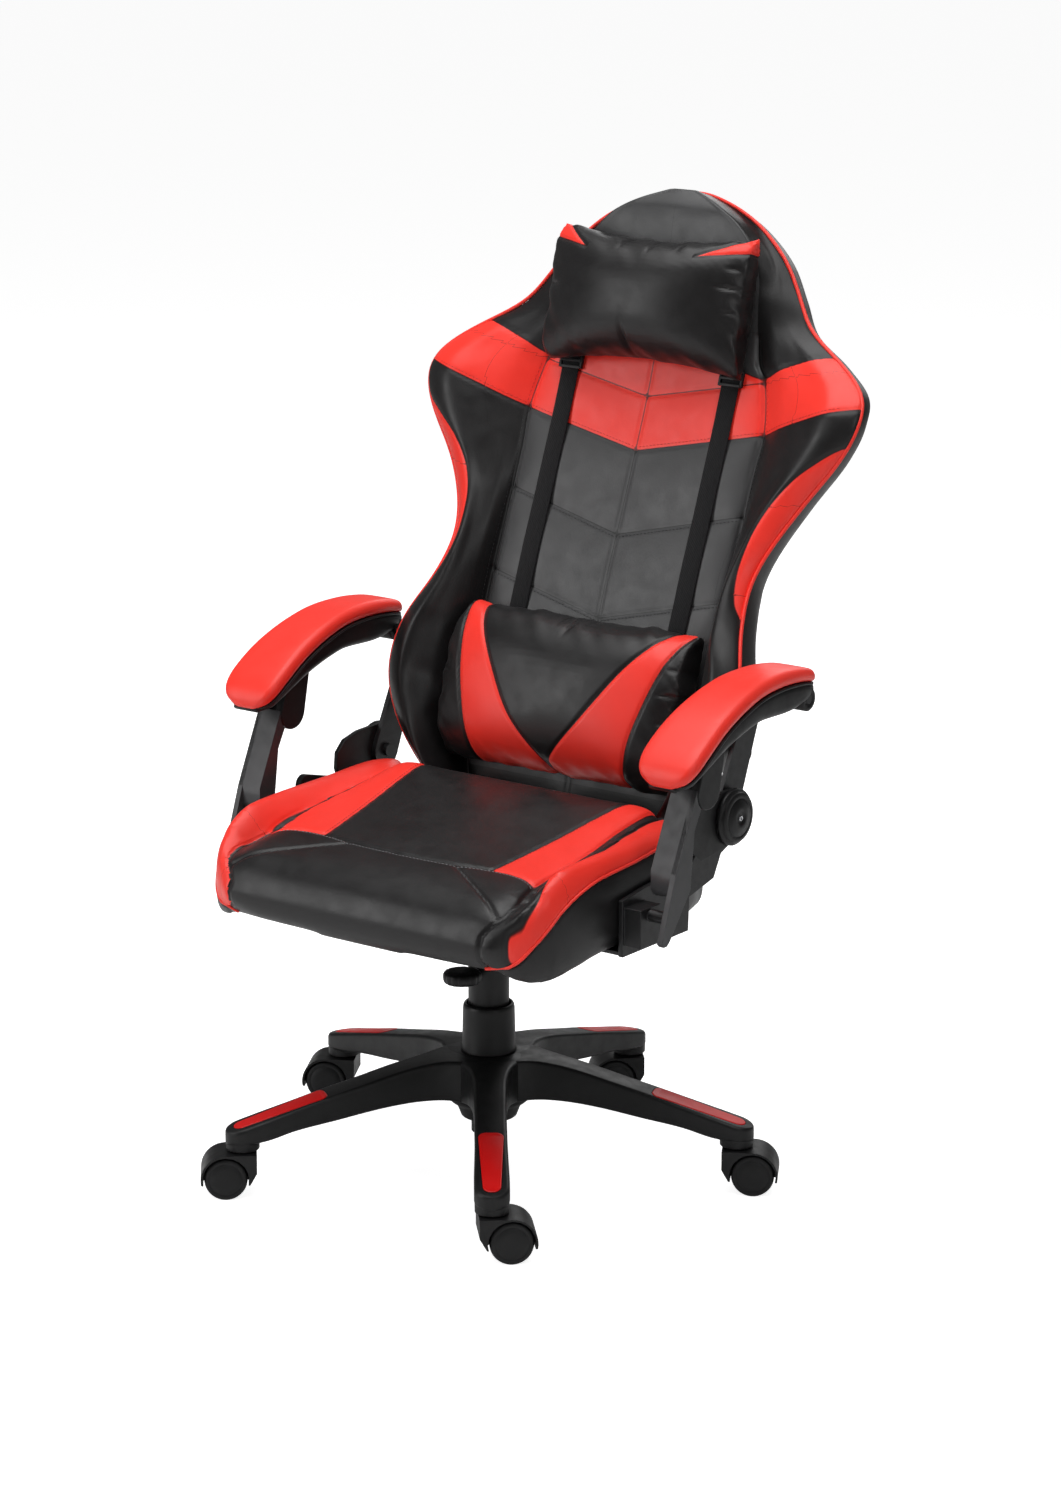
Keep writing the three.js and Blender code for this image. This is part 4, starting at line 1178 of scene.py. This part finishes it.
def strap(side_name, side, surface):
    """One webbing strap, and the slider on it."""
    stations, rear = strap_line(surface, side * STRAP_X)
    a, b, t = STRAP_WIDTH / 2, STRAP_WIDTH / 2 - 0.9, STRAP_THICK
    section = [(-a, -t / 2), (-b, 0), (0, 0), (b, 0), (a, -t / 2), (b, -t), (0, -t), (-b, -t)]
    rings = [[(side * STRAP_X + dx, v, w + dw) for dx, dw in section] for v, w in zip(stations, rear)]
    obj = loft(f"strap_{side_name}", on_back(np.array(rings)))
    uv = obj.data.uv_layers.new(name="strap")
    x, v, _ = to_back(coordinates(obj))
    loops = np.empty(len(obj.data.loops), np.int32)
    obj.data.loops.foreach_get("vertex_index", loops)
    uv.data.foreach_set("uv", np.column_stack([v[loops], x[loops]]).astype(np.float32).ravel() * MM)
    placed(obj, "back", WEBBING)
    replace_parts(obj, f"pillow_strap_{side_name}")
    slider(side_name, side, float(np.interp(SLIDER_V, stations, rear)) - STRAP_THICK / 2)


def block(centre, size, bevel=0.7):
    """A small rounded bar in the back's frame."""
    corners = [
        (centre[0] + sx * size[0] / 2, centre[1] + sv * size[1] / 2, centre[2] + sw * size[2] / 2)
        for sx in (-1, 1) for sv in (-1, 1) for sw in (-1, 1)
    ]
    faces = [(0, 1, 3, 2), (4, 6, 7, 5), (0, 4, 5, 1), (2, 3, 7, 6), (0, 2, 6, 4), (1, 5, 7, 3)]
    obj = mesh_object("block", on_back(np.array(corners)), faces)
    face_out(obj)
    return bevelled(obj, bevel)


def slider(side_name, side, w):
    """A ladder-shaped buckle round the strap."""
    x = side * STRAP_X
    bars = [block((x + s * 15, SLIDER_V, w), (3.4, 19, 4.2)) for s in (-1, 1)]
    bars += [block((x, SLIDER_V + dv, w - 1.4), (30, 3.6, 3.4)) for dv in (-8, 0, 8)]
    placed(joined(f"strap_slider_{side_name}", bars), "back", PLASTIC)


# ---- Armrests ----
# The join of pad and body as (y from the column, z), from the rear forward
ARM_ROUTE = np.array([
    (195, 594), (160, 600), (110, 602), (62, 597), (0, 577), (-46, 551), (-80, 525),
], float)
ARM_X = ARM_REAR[0]
POST_HALF, TONGUE_ROOM, LUG_R = 17, 7, 22


def arm_line(shares):
    """Points and upward normals along the join of the armrest's pad and body, at shares of its length."""
    reach = np.concatenate([[0], np.cumsum(np.linalg.norm(np.diff(ARM_ROUTE, axis=0), axis=1))])
    fine = np.linspace(0, reach[-1], 400)
    route = np.column_stack([through(np.column_stack([reach, ARM_ROUTE[:, k]]))(fine) for k in (0, 1)])
    tangent = np.gradient(route, axis=0)
    tangent /= np.linalg.norm(tangent, axis=1)[:, None]
    at = np.asarray(shares) * reach[-1]
    points = np.column_stack([np.interp(at, fine, route[:, k]) for k in (0, 1)])
    along = np.column_stack([np.interp(at, fine, tangent[:, k]) for k in (0, 1)])
    return points + (COLUMN[1], 0), np.column_stack([along[:, 1], -along[:, 0]])


def arm_loft(name, side, width, low, high, radius, crown=0.0):
    """A rounded bar along the armrest, between two heights from its join line."""
    shares = np.concatenate([[0, 0.008, 0.02], np.linspace(0.04, 0.94, 44), [0.96, 0.975, 0.988, 0.996, 1]])
    points, ups = arm_line(shares)
    rings = []
    for share, point, up in zip(shares, points, ups):
        half_w, bottom, top = float(width(share)), float(low(share)), float(high(share))
        half_h = (top - bottom) / 2
        corner = min(radius, half_h * 0.95, half_w * 0.9)
        ring = np.array([
            (a, b + half_h + bottom) for a, b in rounded_rectangle(half_w, half_h, corner, 6)
        ])
        ring[:, 1] += np.where(ring[:, 1] > bottom + half_h, crown * (1 - (ring[:, 0] / half_w) ** 2), 0)
        rings.append([(side * ARM_X + a, point[0] + up[0] * b, point[1] + up[1] * b) for a, b in ring])
    return loft(name, np.array(rings))


# Half widths, and heights from the join line, by share of the armrest's length from its rear
pad_width = through([
    (0, 14), (0.015, 21), (0.05, 26), (0.3, 31), (0.7, 38), (0.86, 39.5), (0.93, 37), (0.975, 29), (1, 13),
])
pad_top = through([(0, 3), (0.02, 10), (0.06, 15), (0.3, 18), (0.8, 18.5), (0.93, 16), (0.98, 10), (1, 3)])
body_width = through([(0, 18), (0.07, 25), (0.3, 27), (0.7, 31), (0.94, 29), (1, 18)])
body_low = through([(0, -18), (0.2, -32), (0.45, -28), (0.75, -22), (0.93, -14), (1, -5)])


def arm_pad(name, side):
    obj = arm_loft(f"arm_pad_cover_{name}", side, pad_width, lambda s: 0.2, pad_top, 13, 2.2)
    modified(obj, "SUBSURF", levels=1)
    placed(obj, f"arm_{name}", RED_COVER)
    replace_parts(obj, f"arm_pad_{name}")
    return obj


def arm_body(name, side):
    """The plastic body: a long shell, a rear boss and a forked lug that holds the post."""
    shell = arm_loft("shell", side, body_width, body_low, lambda s: -0.2, 9)
    lip = arm_loft("lip", side, lambda s: pad_width(s) - 1.4, lambda s: -3.4, lambda s: 0.1, 1.6)
    y, z = ARM_FRONT[1], ARM_FRONT[2]
    outline = arc((y, z), LUG_R, 180, 352, 26) + [(y + 34, z + 56), (y - 6, z + 42)]
    cheeks = [
        prism("cheek", outline, side * ARM_X + a, side * ARM_X + b, 1.6)
        for a, b in ((-POST_HALF, -TONGUE_ROOM), (TONGUE_ROOM, POST_HALF))
    ]
    joining = [(y - 8, z + 26), (y + 23, z + 21), (y + 33, z + 56), (y - 6, z + 42)]
    reach = TONGUE_ROOM + 1
    bridge = prism("bridge", joining, side * ARM_X - reach, side * ARM_X + reach, 0.6)
    boss = turned(
        "boss", [(6.5, -22), (13, -22), (14, -21), (14, 21), (13, 22), (6.5, 22)], 48,
        (side * ARM_X, ARM_REAR[1], ARM_REAR[2]), "X",
    )
    obj = joined(f"arm_body_{name}", [shell, lip, *cheeks, bridge, boss])
    placed(obj, f"arm_{name}", PLASTIC)
    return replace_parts(obj, f"arm_frame_{name}")


def arm_post(name, side):
    """The upright: a box section with a rounded foot, an outer cheek below it, and a tongue for the lug."""
    y, z = ARM_FRONT[1], ARM_FRONT[2]
    room = arc((y, z), LUG_R + 1.4, 168, 228, 12)
    front = [room[0], (-139, 428)]
    rear = [(-111, 404), (-104, 470), room[-1]]
    foot = arc((-125.5, 410), 13.5, 175, 345, 14)
    section = [*front, *foot, *rear[1:], *room[-2:0:-1]]
    column = prism("column", section, *post_span(side, -POST_HALF, POST_HALF - 0.6), 2.6)
    outline = [*front, (-165, 354), (-161, 350), (-155, 350), (-150, 354), *rear, *room[-2:0:-1]]
    cheek = prism("cheek", outline, *post_span(side, POST_HALF - 7, POST_HALF), 1.6)
    link = arc((y, z), 13, -60, 120, 14) + arc((-106, 478), 6, 120, 300, 10)
    tongue = prism("tongue", link, *post_span(side, 1 - TONGUE_ROOM, TONGUE_ROOM - 1), 0.8)
    obj = joined(f"arm_upright_{name}", [column, cheek, tongue])
    placed(obj, f"post_{name}", POST_PLASTIC)
    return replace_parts(obj, f"arm_post_{name}")


def post_span(side, inner, outer):
    """Two x positions either side of the post's middle plane, the lower first."""
    return sorted((side * (ARM_X + inner), side * (ARM_X + outer)))


def screw(name, centre, r, body, outward):
    """A socket-head screw of radius r facing along X."""
    profile = [(0, 0), (r, 0), (r, 2.2), (r - 0.5, 2.8), (r * 0.5, 2.8), (r * 0.45, 1.2), (0, 1.2)]
    obj = turned(name, profile, 24, (0, 0, 0), "X")
    set_coordinates(obj, coordinates(obj) * (outward, 1, 1) + np.array(centre))
    face_out(obj)
    placed(obj, body, STEEL)


# ---- Base: an arm's heights and half width, by distance from the column ----
arm_top = through([
    (20, 141.5), (60, 140.5), (90, 136.5), (120, 130.5), (163, 119.8), (200, 110.8), (260, 94.9), (320, 79),
])
arm_bottom = through([
    (20, 86), (55, 92), (100, 92), (140, 88.5), (190, 81), (240, 74), (275, 66), (320, 62),
])
arm_half = through([(30, 40), (46, 33), (58, 27), (74, 22.5), (100, 19.5), (200, 18.5), (280, 20)])
CASTER_R, TIP_HALF = 300, 20
INSERT_MIDDLE, INSERT_SLOPE = 256, math.radians(14.84)


def insert_outline(margin):
    """The inlay seen from above, square at its inner end and round at its tip, grown by margin."""
    inner, tip, half_inner, half_tip, corner = -58, 56, 14.4, 10.2, 9
    points = arc((tip - half_tip, 0), half_tip + margin, -90, 90, 17)
    points += arc((inner + corner, half_inner - corner), corner + margin, 90, 180, 9)
    return points + arc((inner + corner, corner - half_inner), corner + margin, 180, 270, 9)


def insert_prism(name, margin, low, high, crown=0.0):
    """The inlay's outline as a solid laid on the sloping top of an arm along +X."""
    outline = insert_outline(margin)
    n = len(outline)
    inner = [(x * 0.985, y * 0.9) for x, y in outline]
    points = [(x, y, low) for x, y in outline] + [(x, y, high) for x, y in outline]
    points += [(x, y, high + crown) for x, y in inner]
    faces = [tuple(range(n)), tuple(range(2 * n, 3 * n))]
    for k in (0, n):
        faces += [(k + i, k + (i + 1) % n, k + (i + 1) % n + n, k + i + n) for i in range(n)]
    points = np.array(points)
    c, s = math.cos(INSERT_SLOPE), math.sin(INSERT_SLOPE)
    x = points[:, 0] * c + points[:, 2] * s + INSERT_MIDDLE
    z = -points[:, 0] * s + points[:, 2] * c + float(arm_top(INSERT_MIDDLE))
    obj = mesh_object(name, np.column_stack([x, points[:, 1], z]), faces)
    face_out(obj)
    return obj


def star_arm():
    """One arm along +X with its tip block, and a recess for the inlay."""
    rings = []
    stations = list(np.linspace(12, 290, 50)) + [
        CASTER_R + TIP_HALF * share for share in (0, 0.2, 0.4, 0.55, 0.7, 0.8, 0.88, 0.94, 0.98, 0.999)
    ]
    for r in stations:
        past = max((r - CASTER_R) / TIP_HALF, 0)
        half = float(arm_half(r)) * math.sqrt(max(1 - past * past, 1e-4))
        top, bottom = float(arm_top(r)), float(arm_bottom(r))
        section = rounded_rectangle(half, (top - bottom) / 2, min(4.5, half * 0.9), 5)
        rings.append([(r, a, (top + bottom) / 2 + b) for a, b in section])
    obj = loft("arm", np.array(rings))
    cutter = insert_prism("cutter", 0.7, -2.4, 12)
    modified(obj, "BOOLEAN", operation="DIFFERENCE", object=cutter, solver="EXACT")
    bpy.data.objects.remove(cutter)
    tip = turned("tip", [(0, 55), (18.4, 55), (19.4, 56), (19.6, 74), (0, 74)], 48, (CASTER_R, 0, 0))
    collar = turned("collar", [(0, 54.2), (12, 54.2), (13, 55), (13, 58), (0, 58)], 40, (CASTER_R, 0, 0))
    return joined("arm", [obj, tip, collar])


def arm_angles():
    """Each arm's direction, from where its caster's swivel axis stands."""
    for number in range(1, 6):
        x, y, _ = joint_at(f"caster_{number}_swivel") - (COLUMN[0], COLUMN[1], 0)
        yield number, math.atan2(y, x)


def turned_about_column(obj, angle):
    obj.data.transform(Matrix.Translation(Vector(COLUMN * (MM, MM, 0))) @ Matrix.Rotation(angle, 4, "Z"))
    return obj


def base():
    """The star base in one piece, and its five red inlays."""
    hub = turned(
        "hub",
        [
            (22, 62), (32, 62), (33, 63), (38, 76), (46, 82), (52, 88), (53.5, 100), (53.5, 126), (51, 134),
            (46, 138.5), (40, 141), (34, 142), (22, 142),
        ],
        96,
    )
    pieces = [turned_about_column(hub, 0)]
    template = star_arm()
    for number, angle in arm_angles():
        arm = bpy.data.objects.new("arm_copy", template.data.copy())
        scene.collection.objects.link(arm)
        pieces.append(turned_about_column(arm, angle))
        inlay = insert_prism(f"base_inlay_{number}", 0, -2.3, 0.2, 0.5)
        bevelled(inlay, 0.5, 20)
        turned_about_column(inlay, angle)
        placed(inlay, "base", RED_PLASTIC)
        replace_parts(inlay, f"arm_insert_{number}")
    bpy.data.objects.remove(template)
    star = joined("base_star", pieces)
    star.data.shade_smooth()
    bm = edit(star)
    for edge in bm.edges:
        if len(edge.link_faces) == 2 and edge.calc_face_angle(0) > math.radians(38):
            edge.smooth = False
    commit(star, bm)
    placed(star, "base", NYLON)
    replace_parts(star, "star_base")


def lift_covers():
    """The two telescoping tubes round the gas lift."""
    lower = [
        (27.6, 142.4), (32.4, 142.4), (32.6, 144), (31.4, 147), (30.4, 194), (29.7, 198), (28.4, 200),
        (26.4, 200), (26.2, 198), (27.6, 146),
    ]
    upper = [
        (22, 111.4), (24, 111.4), (24, 244), (23.4, 248), (22, 249.6), (14.6, 249.6), (14.6, 246), (22, 245),
    ]
    for part, profile, body in (("lower", lower, "base"), ("upper", upper, "column")):
        obj = turned_about_column(turned(f"cover_{part}", profile, 80), 0)
        placed(obj, body, NYLON)
        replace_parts(obj, f"lift_cover_{part}")


WHEEL_MIDDLE = 15  # from the caster's own middle plane to the middle of a wheel
WHEEL_PROFILE = [
    (0, 21), (3.2, 21), (3.2, 6.2), (22.6, 6.2), (24.2, 7.0), (24.9, 8.6), (24.95, 14), (24.95, 20),
    (24.4, 22.2), (22.8, 23.6), (20.4, 24.1), (19.4, 23.5), (18.6, 23.5), (17.8, 24.4), (12, 25.1),
    (5, 25.4), (0, 25.4),
]


def wheels():
    """Ten dished wheels, each on its own axle and facing away from its hood."""
    for number in range(1, 6):
        for side_name in ("left", "right"):
            joint = JOINTS[f"wheel_{number}_{side_name}_roll"]
            outward = 1 if side_name == "right" else -1
            obj = turned(f"wheel_{number}_{side_name}", WHEEL_PROFILE, 64, (0, 0, 0), "X")
            centre = np.array(joint["pos_m"]) / MM
            axis = np.array(joint["axis"])
            heading = math.atan2(axis[1], axis[0])
            points = coordinates(obj) * (outward, 1, 1) - (outward * WHEEL_MIDDLE, 0, 0)
            c, s = math.cos(heading), math.sin(heading)
            turned_points = np.column_stack([
                points[:, 0] * c - points[:, 1] * s, points[:, 0] * s + points[:, 1] * c, points[:, 2]
            ])
            set_coordinates(obj, turned_points + centre)
            face_out(obj)
            placed(obj, f"wheel_{number}_{side_name}", WHEEL)
            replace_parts(obj, f"caster_wheel_{number}_{side_name}")


COVER_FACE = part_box("hinge_cover_left")[0][0] / MM  # where a hinge cover meets its plate


def hinge_covers():
    """A stepped disc over each end of the hinge, with a screw in its middle."""
    profile = [
        (0, 0), (33, 0), (33, 4.4), (32.2, 5.6), (29.4, 6.4), (29.4, 8.6), (28.4, 9.8), (23.6, 11),
        (22.8, 10.2), (21.8, 10.2), (21.2, 11.6), (12, 13), (8, 13.4), (7.2, 12.4), (0, 12.4),
    ]
    for name, side in SIDES:
        obj = turned(f"hinge_disc_{name}", profile, 72, (0, 0, 0), "X")
        set_coordinates(obj, coordinates(obj) * (side, 1, 1) + (side * COVER_FACE, HINGE[1], HINGE[2]))
        face_out(obj)
        placed(obj, "seat", PLASTIC)
        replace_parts(obj, f"hinge_cover_{name}")
        middle = (side * (COVER_FACE + 10.4), HINGE[1], HINGE[2])
        screw(f"hinge_screw_{name}", middle, 3.4, "seat", side)


def hinge_shroud(name, side):
    """The flat plastic cover over the plate that joins the hinge to the foot of the arm post."""
    y, z = HINGE[1], HINGE[2]
    outline = [
        (y + 2, z + 33), (y - 45, z + 31), (y - 70, z + 25), (y - 84, z + 12), (y - 86, z - 8),
        (y - 78, z - 26), (y - 60, z - 40), (y - 6, z - 33), (y + 20, z - 24), (y + 30, z), (y + 20, z + 24),
    ]
    outer = COVER_FACE - 0.2
    obj = prism(f"hinge_shroud_{name}", outline, *sorted((side * (outer - 6.4), side * outer)), 1.2)
    placed(obj, "seat", PLASTIC)


def tension_knob():
    """The round knob under the seat's front, with a fluted grip."""
    place = joint_at("tension_knob_turn")
    flutes, count = 16, 96
    angles = np.linspace(0, 2 * math.pi, count, endpoint=False)
    ripple = 1 - 0.045 * np.clip(np.cos(angles * flutes), 0, 1)
    rings = []
    for radius, z, grip in (
        (3, 236.4, 0), (17, 236.4, 0), (20.5, 237.4, 0.6), (22.2, 239.4, 1), (22.6, 243, 1), (22.4, 247, 1),
        (20.8, 249.6, 0.7), (17, 250.6, 0), (3, 250.7, 0),
    ):
        r = radius * (1 + grip * (ripple - 1))
        rings.append(np.column_stack([
            place[0] + r * np.cos(angles), place[1] + r * np.sin(angles), np.full(count, z),
        ]))
    obj = loft("tension_knob_fluted", np.array(rings))
    placed(obj, "knob", PLASTIC)
    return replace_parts(obj, "tension_knob")


def carried_over():
    """CAD pieces of the right shape, kept with finer edges."""
    plan = [
        ("gas_cylinder", "black_steel", BLACK_STEEL, 0.6),
        ("gas_piston", "bright_steel", STEEL, 0.4),
        ("mechanism_housing", "black_steel", BLACK_STEEL, 1.2),
        ("actuator_cam", "black_steel", BLACK_STEEL, 0.4),
        ("height_lever", "black_plastic", PLASTIC, 0.8),
        ("seat_bracket", "black_steel", BLACK_STEEL, 0.8),
        ("seat_board", "board", BOARD, 1.0),
        ("back_frame", "black_steel", BLACK_STEEL, 0.3),
        ("recline_lever", "black_plastic", PLASTIC, 1.6),
    ]
    for name, _ in SIDES:
        plan.append((f"recliner_plate_{name}", "black_steel", BLACK_STEEL, 1.0))
    for number in range(1, 6):
        plan.append((f"caster_hood_{number}", "black_nylon", NYLON, 1.1))
        plan.append((f"caster_stem_{number}", "bright_steel", STEEL, 0.3))
        plan.append((f"caster_axle_{number}", "bright_steel", STEEL, 0.3))
    for name, slot, material, bevel in plan:
        obj = copy_of(name, f"{name}_finished", bevel)
        placed(obj, frame["nodes"][name]["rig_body"], material)


# ---- Stage ----
def stage():
    """A plain pale floor and a white backdrop that throws only a little light on the chair."""
    reach = 40000
    corners = [(-reach, -reach, 0), (reach, -reach, 0), (reach, reach, 0), (-reach, reach, 0)]
    floor = mesh_object("floor", corners, [(0, 1, 2, 3)])
    pale, tree, shader = new_material("floor_pale", (0.9, 0.9, 0.9), 0.9)
    seen = node(tree, "ShaderNodeLightPath").outputs["Is Camera Ray"]
    shader.inputs["Emission Color"].default_value = (1, 1, 1, 1)
    tree.links.new(math_node(tree, "MULTIPLY", seen, 0.84), shader.inputs["Emission Strength"])
    floor.data.materials.append(pale)
    world = scene.world or bpy.data.worlds.new("studio")
    scene.world = world
    world.use_nodes = True
    tree = world.node_tree
    seen = node(tree, "ShaderNodeLightPath").outputs["Is Camera Ray"]
    background = tree.nodes["Background"]
    background.inputs["Color"].default_value = (1, 1, 1, 1)
    glow = node(tree, "ShaderNodeMapRange", {"Value": seen, "To Min": 0.13, "To Max": 1.0})
    tree.links.new(glow.outputs["Result"], background.inputs["Strength"])
    scene.view_settings.view_transform = "Standard"


def area_light(name, place, aim, size, power):
    """A rectangular lamp at a place, turned to its aim. Places are metres here, as in camera()."""
    data = bpy.data.lights.new(name, "AREA")
    data.shape = "RECTANGLE"
    data.size, data.size_y = size
    data.energy = power
    obj = bpy.data.objects.new(name, data)
    scene.collection.objects.link(obj)
    obj.location = place
    obj.rotation_euler = (Vector(aim) - Vector(place)).to_track_quat("-Z", "Y").to_euler()


def lights():
    area_light("overhead", (0, -0.3, 3.6), (0, -0.2, 0), (3.4, 3.4), 118)
    area_light("front_left", (-1.9, -2.6, 1.5), (0, 0, 0.6), (1.5, 2.1), 33)
    area_light("front_right", (2.9, -1.3, 2.0), (0, 0, 0.7), (0.8, 1.6), 10)
    area_light("rear", (-0.9, 3.0, 1.9), (0, 0.1, 0.7), (2.2, 1.4), 16)


def camera():
    """The view from the front, a little above and to the sitter's left."""
    data = bpy.data.cameras.new("camera")
    data.sensor_width = 36
    data.lens = 95.35
    obj = bpy.data.objects.new("camera", data)
    scene.collection.objects.link(obj)
    obj.location = (2.700, -3.566, 1.656)
    obj.rotation_euler = (math.radians(75.4), 0, math.radians(37))
    scene.camera = obj


stage()
lights()
camera()
base()
wheels()
lift_covers()
carried_over()
tension_knob()
hinge_covers()
back = back_cover()
back_piping()
back_stitching(back)
seat = seat_cover()
seat_trim(seat)
back_surface = surface_of(back)
for side_name, side_sign in SIDES:
    strap(side_name, side_sign, back_surface)
    arm_pad(side_name, side_sign)
    arm_body(side_name, side_sign)
    arm_post(side_name, side_sign)
    hinge_shroud(side_name, side_sign)
lumbar_pillow()
head_pillow()
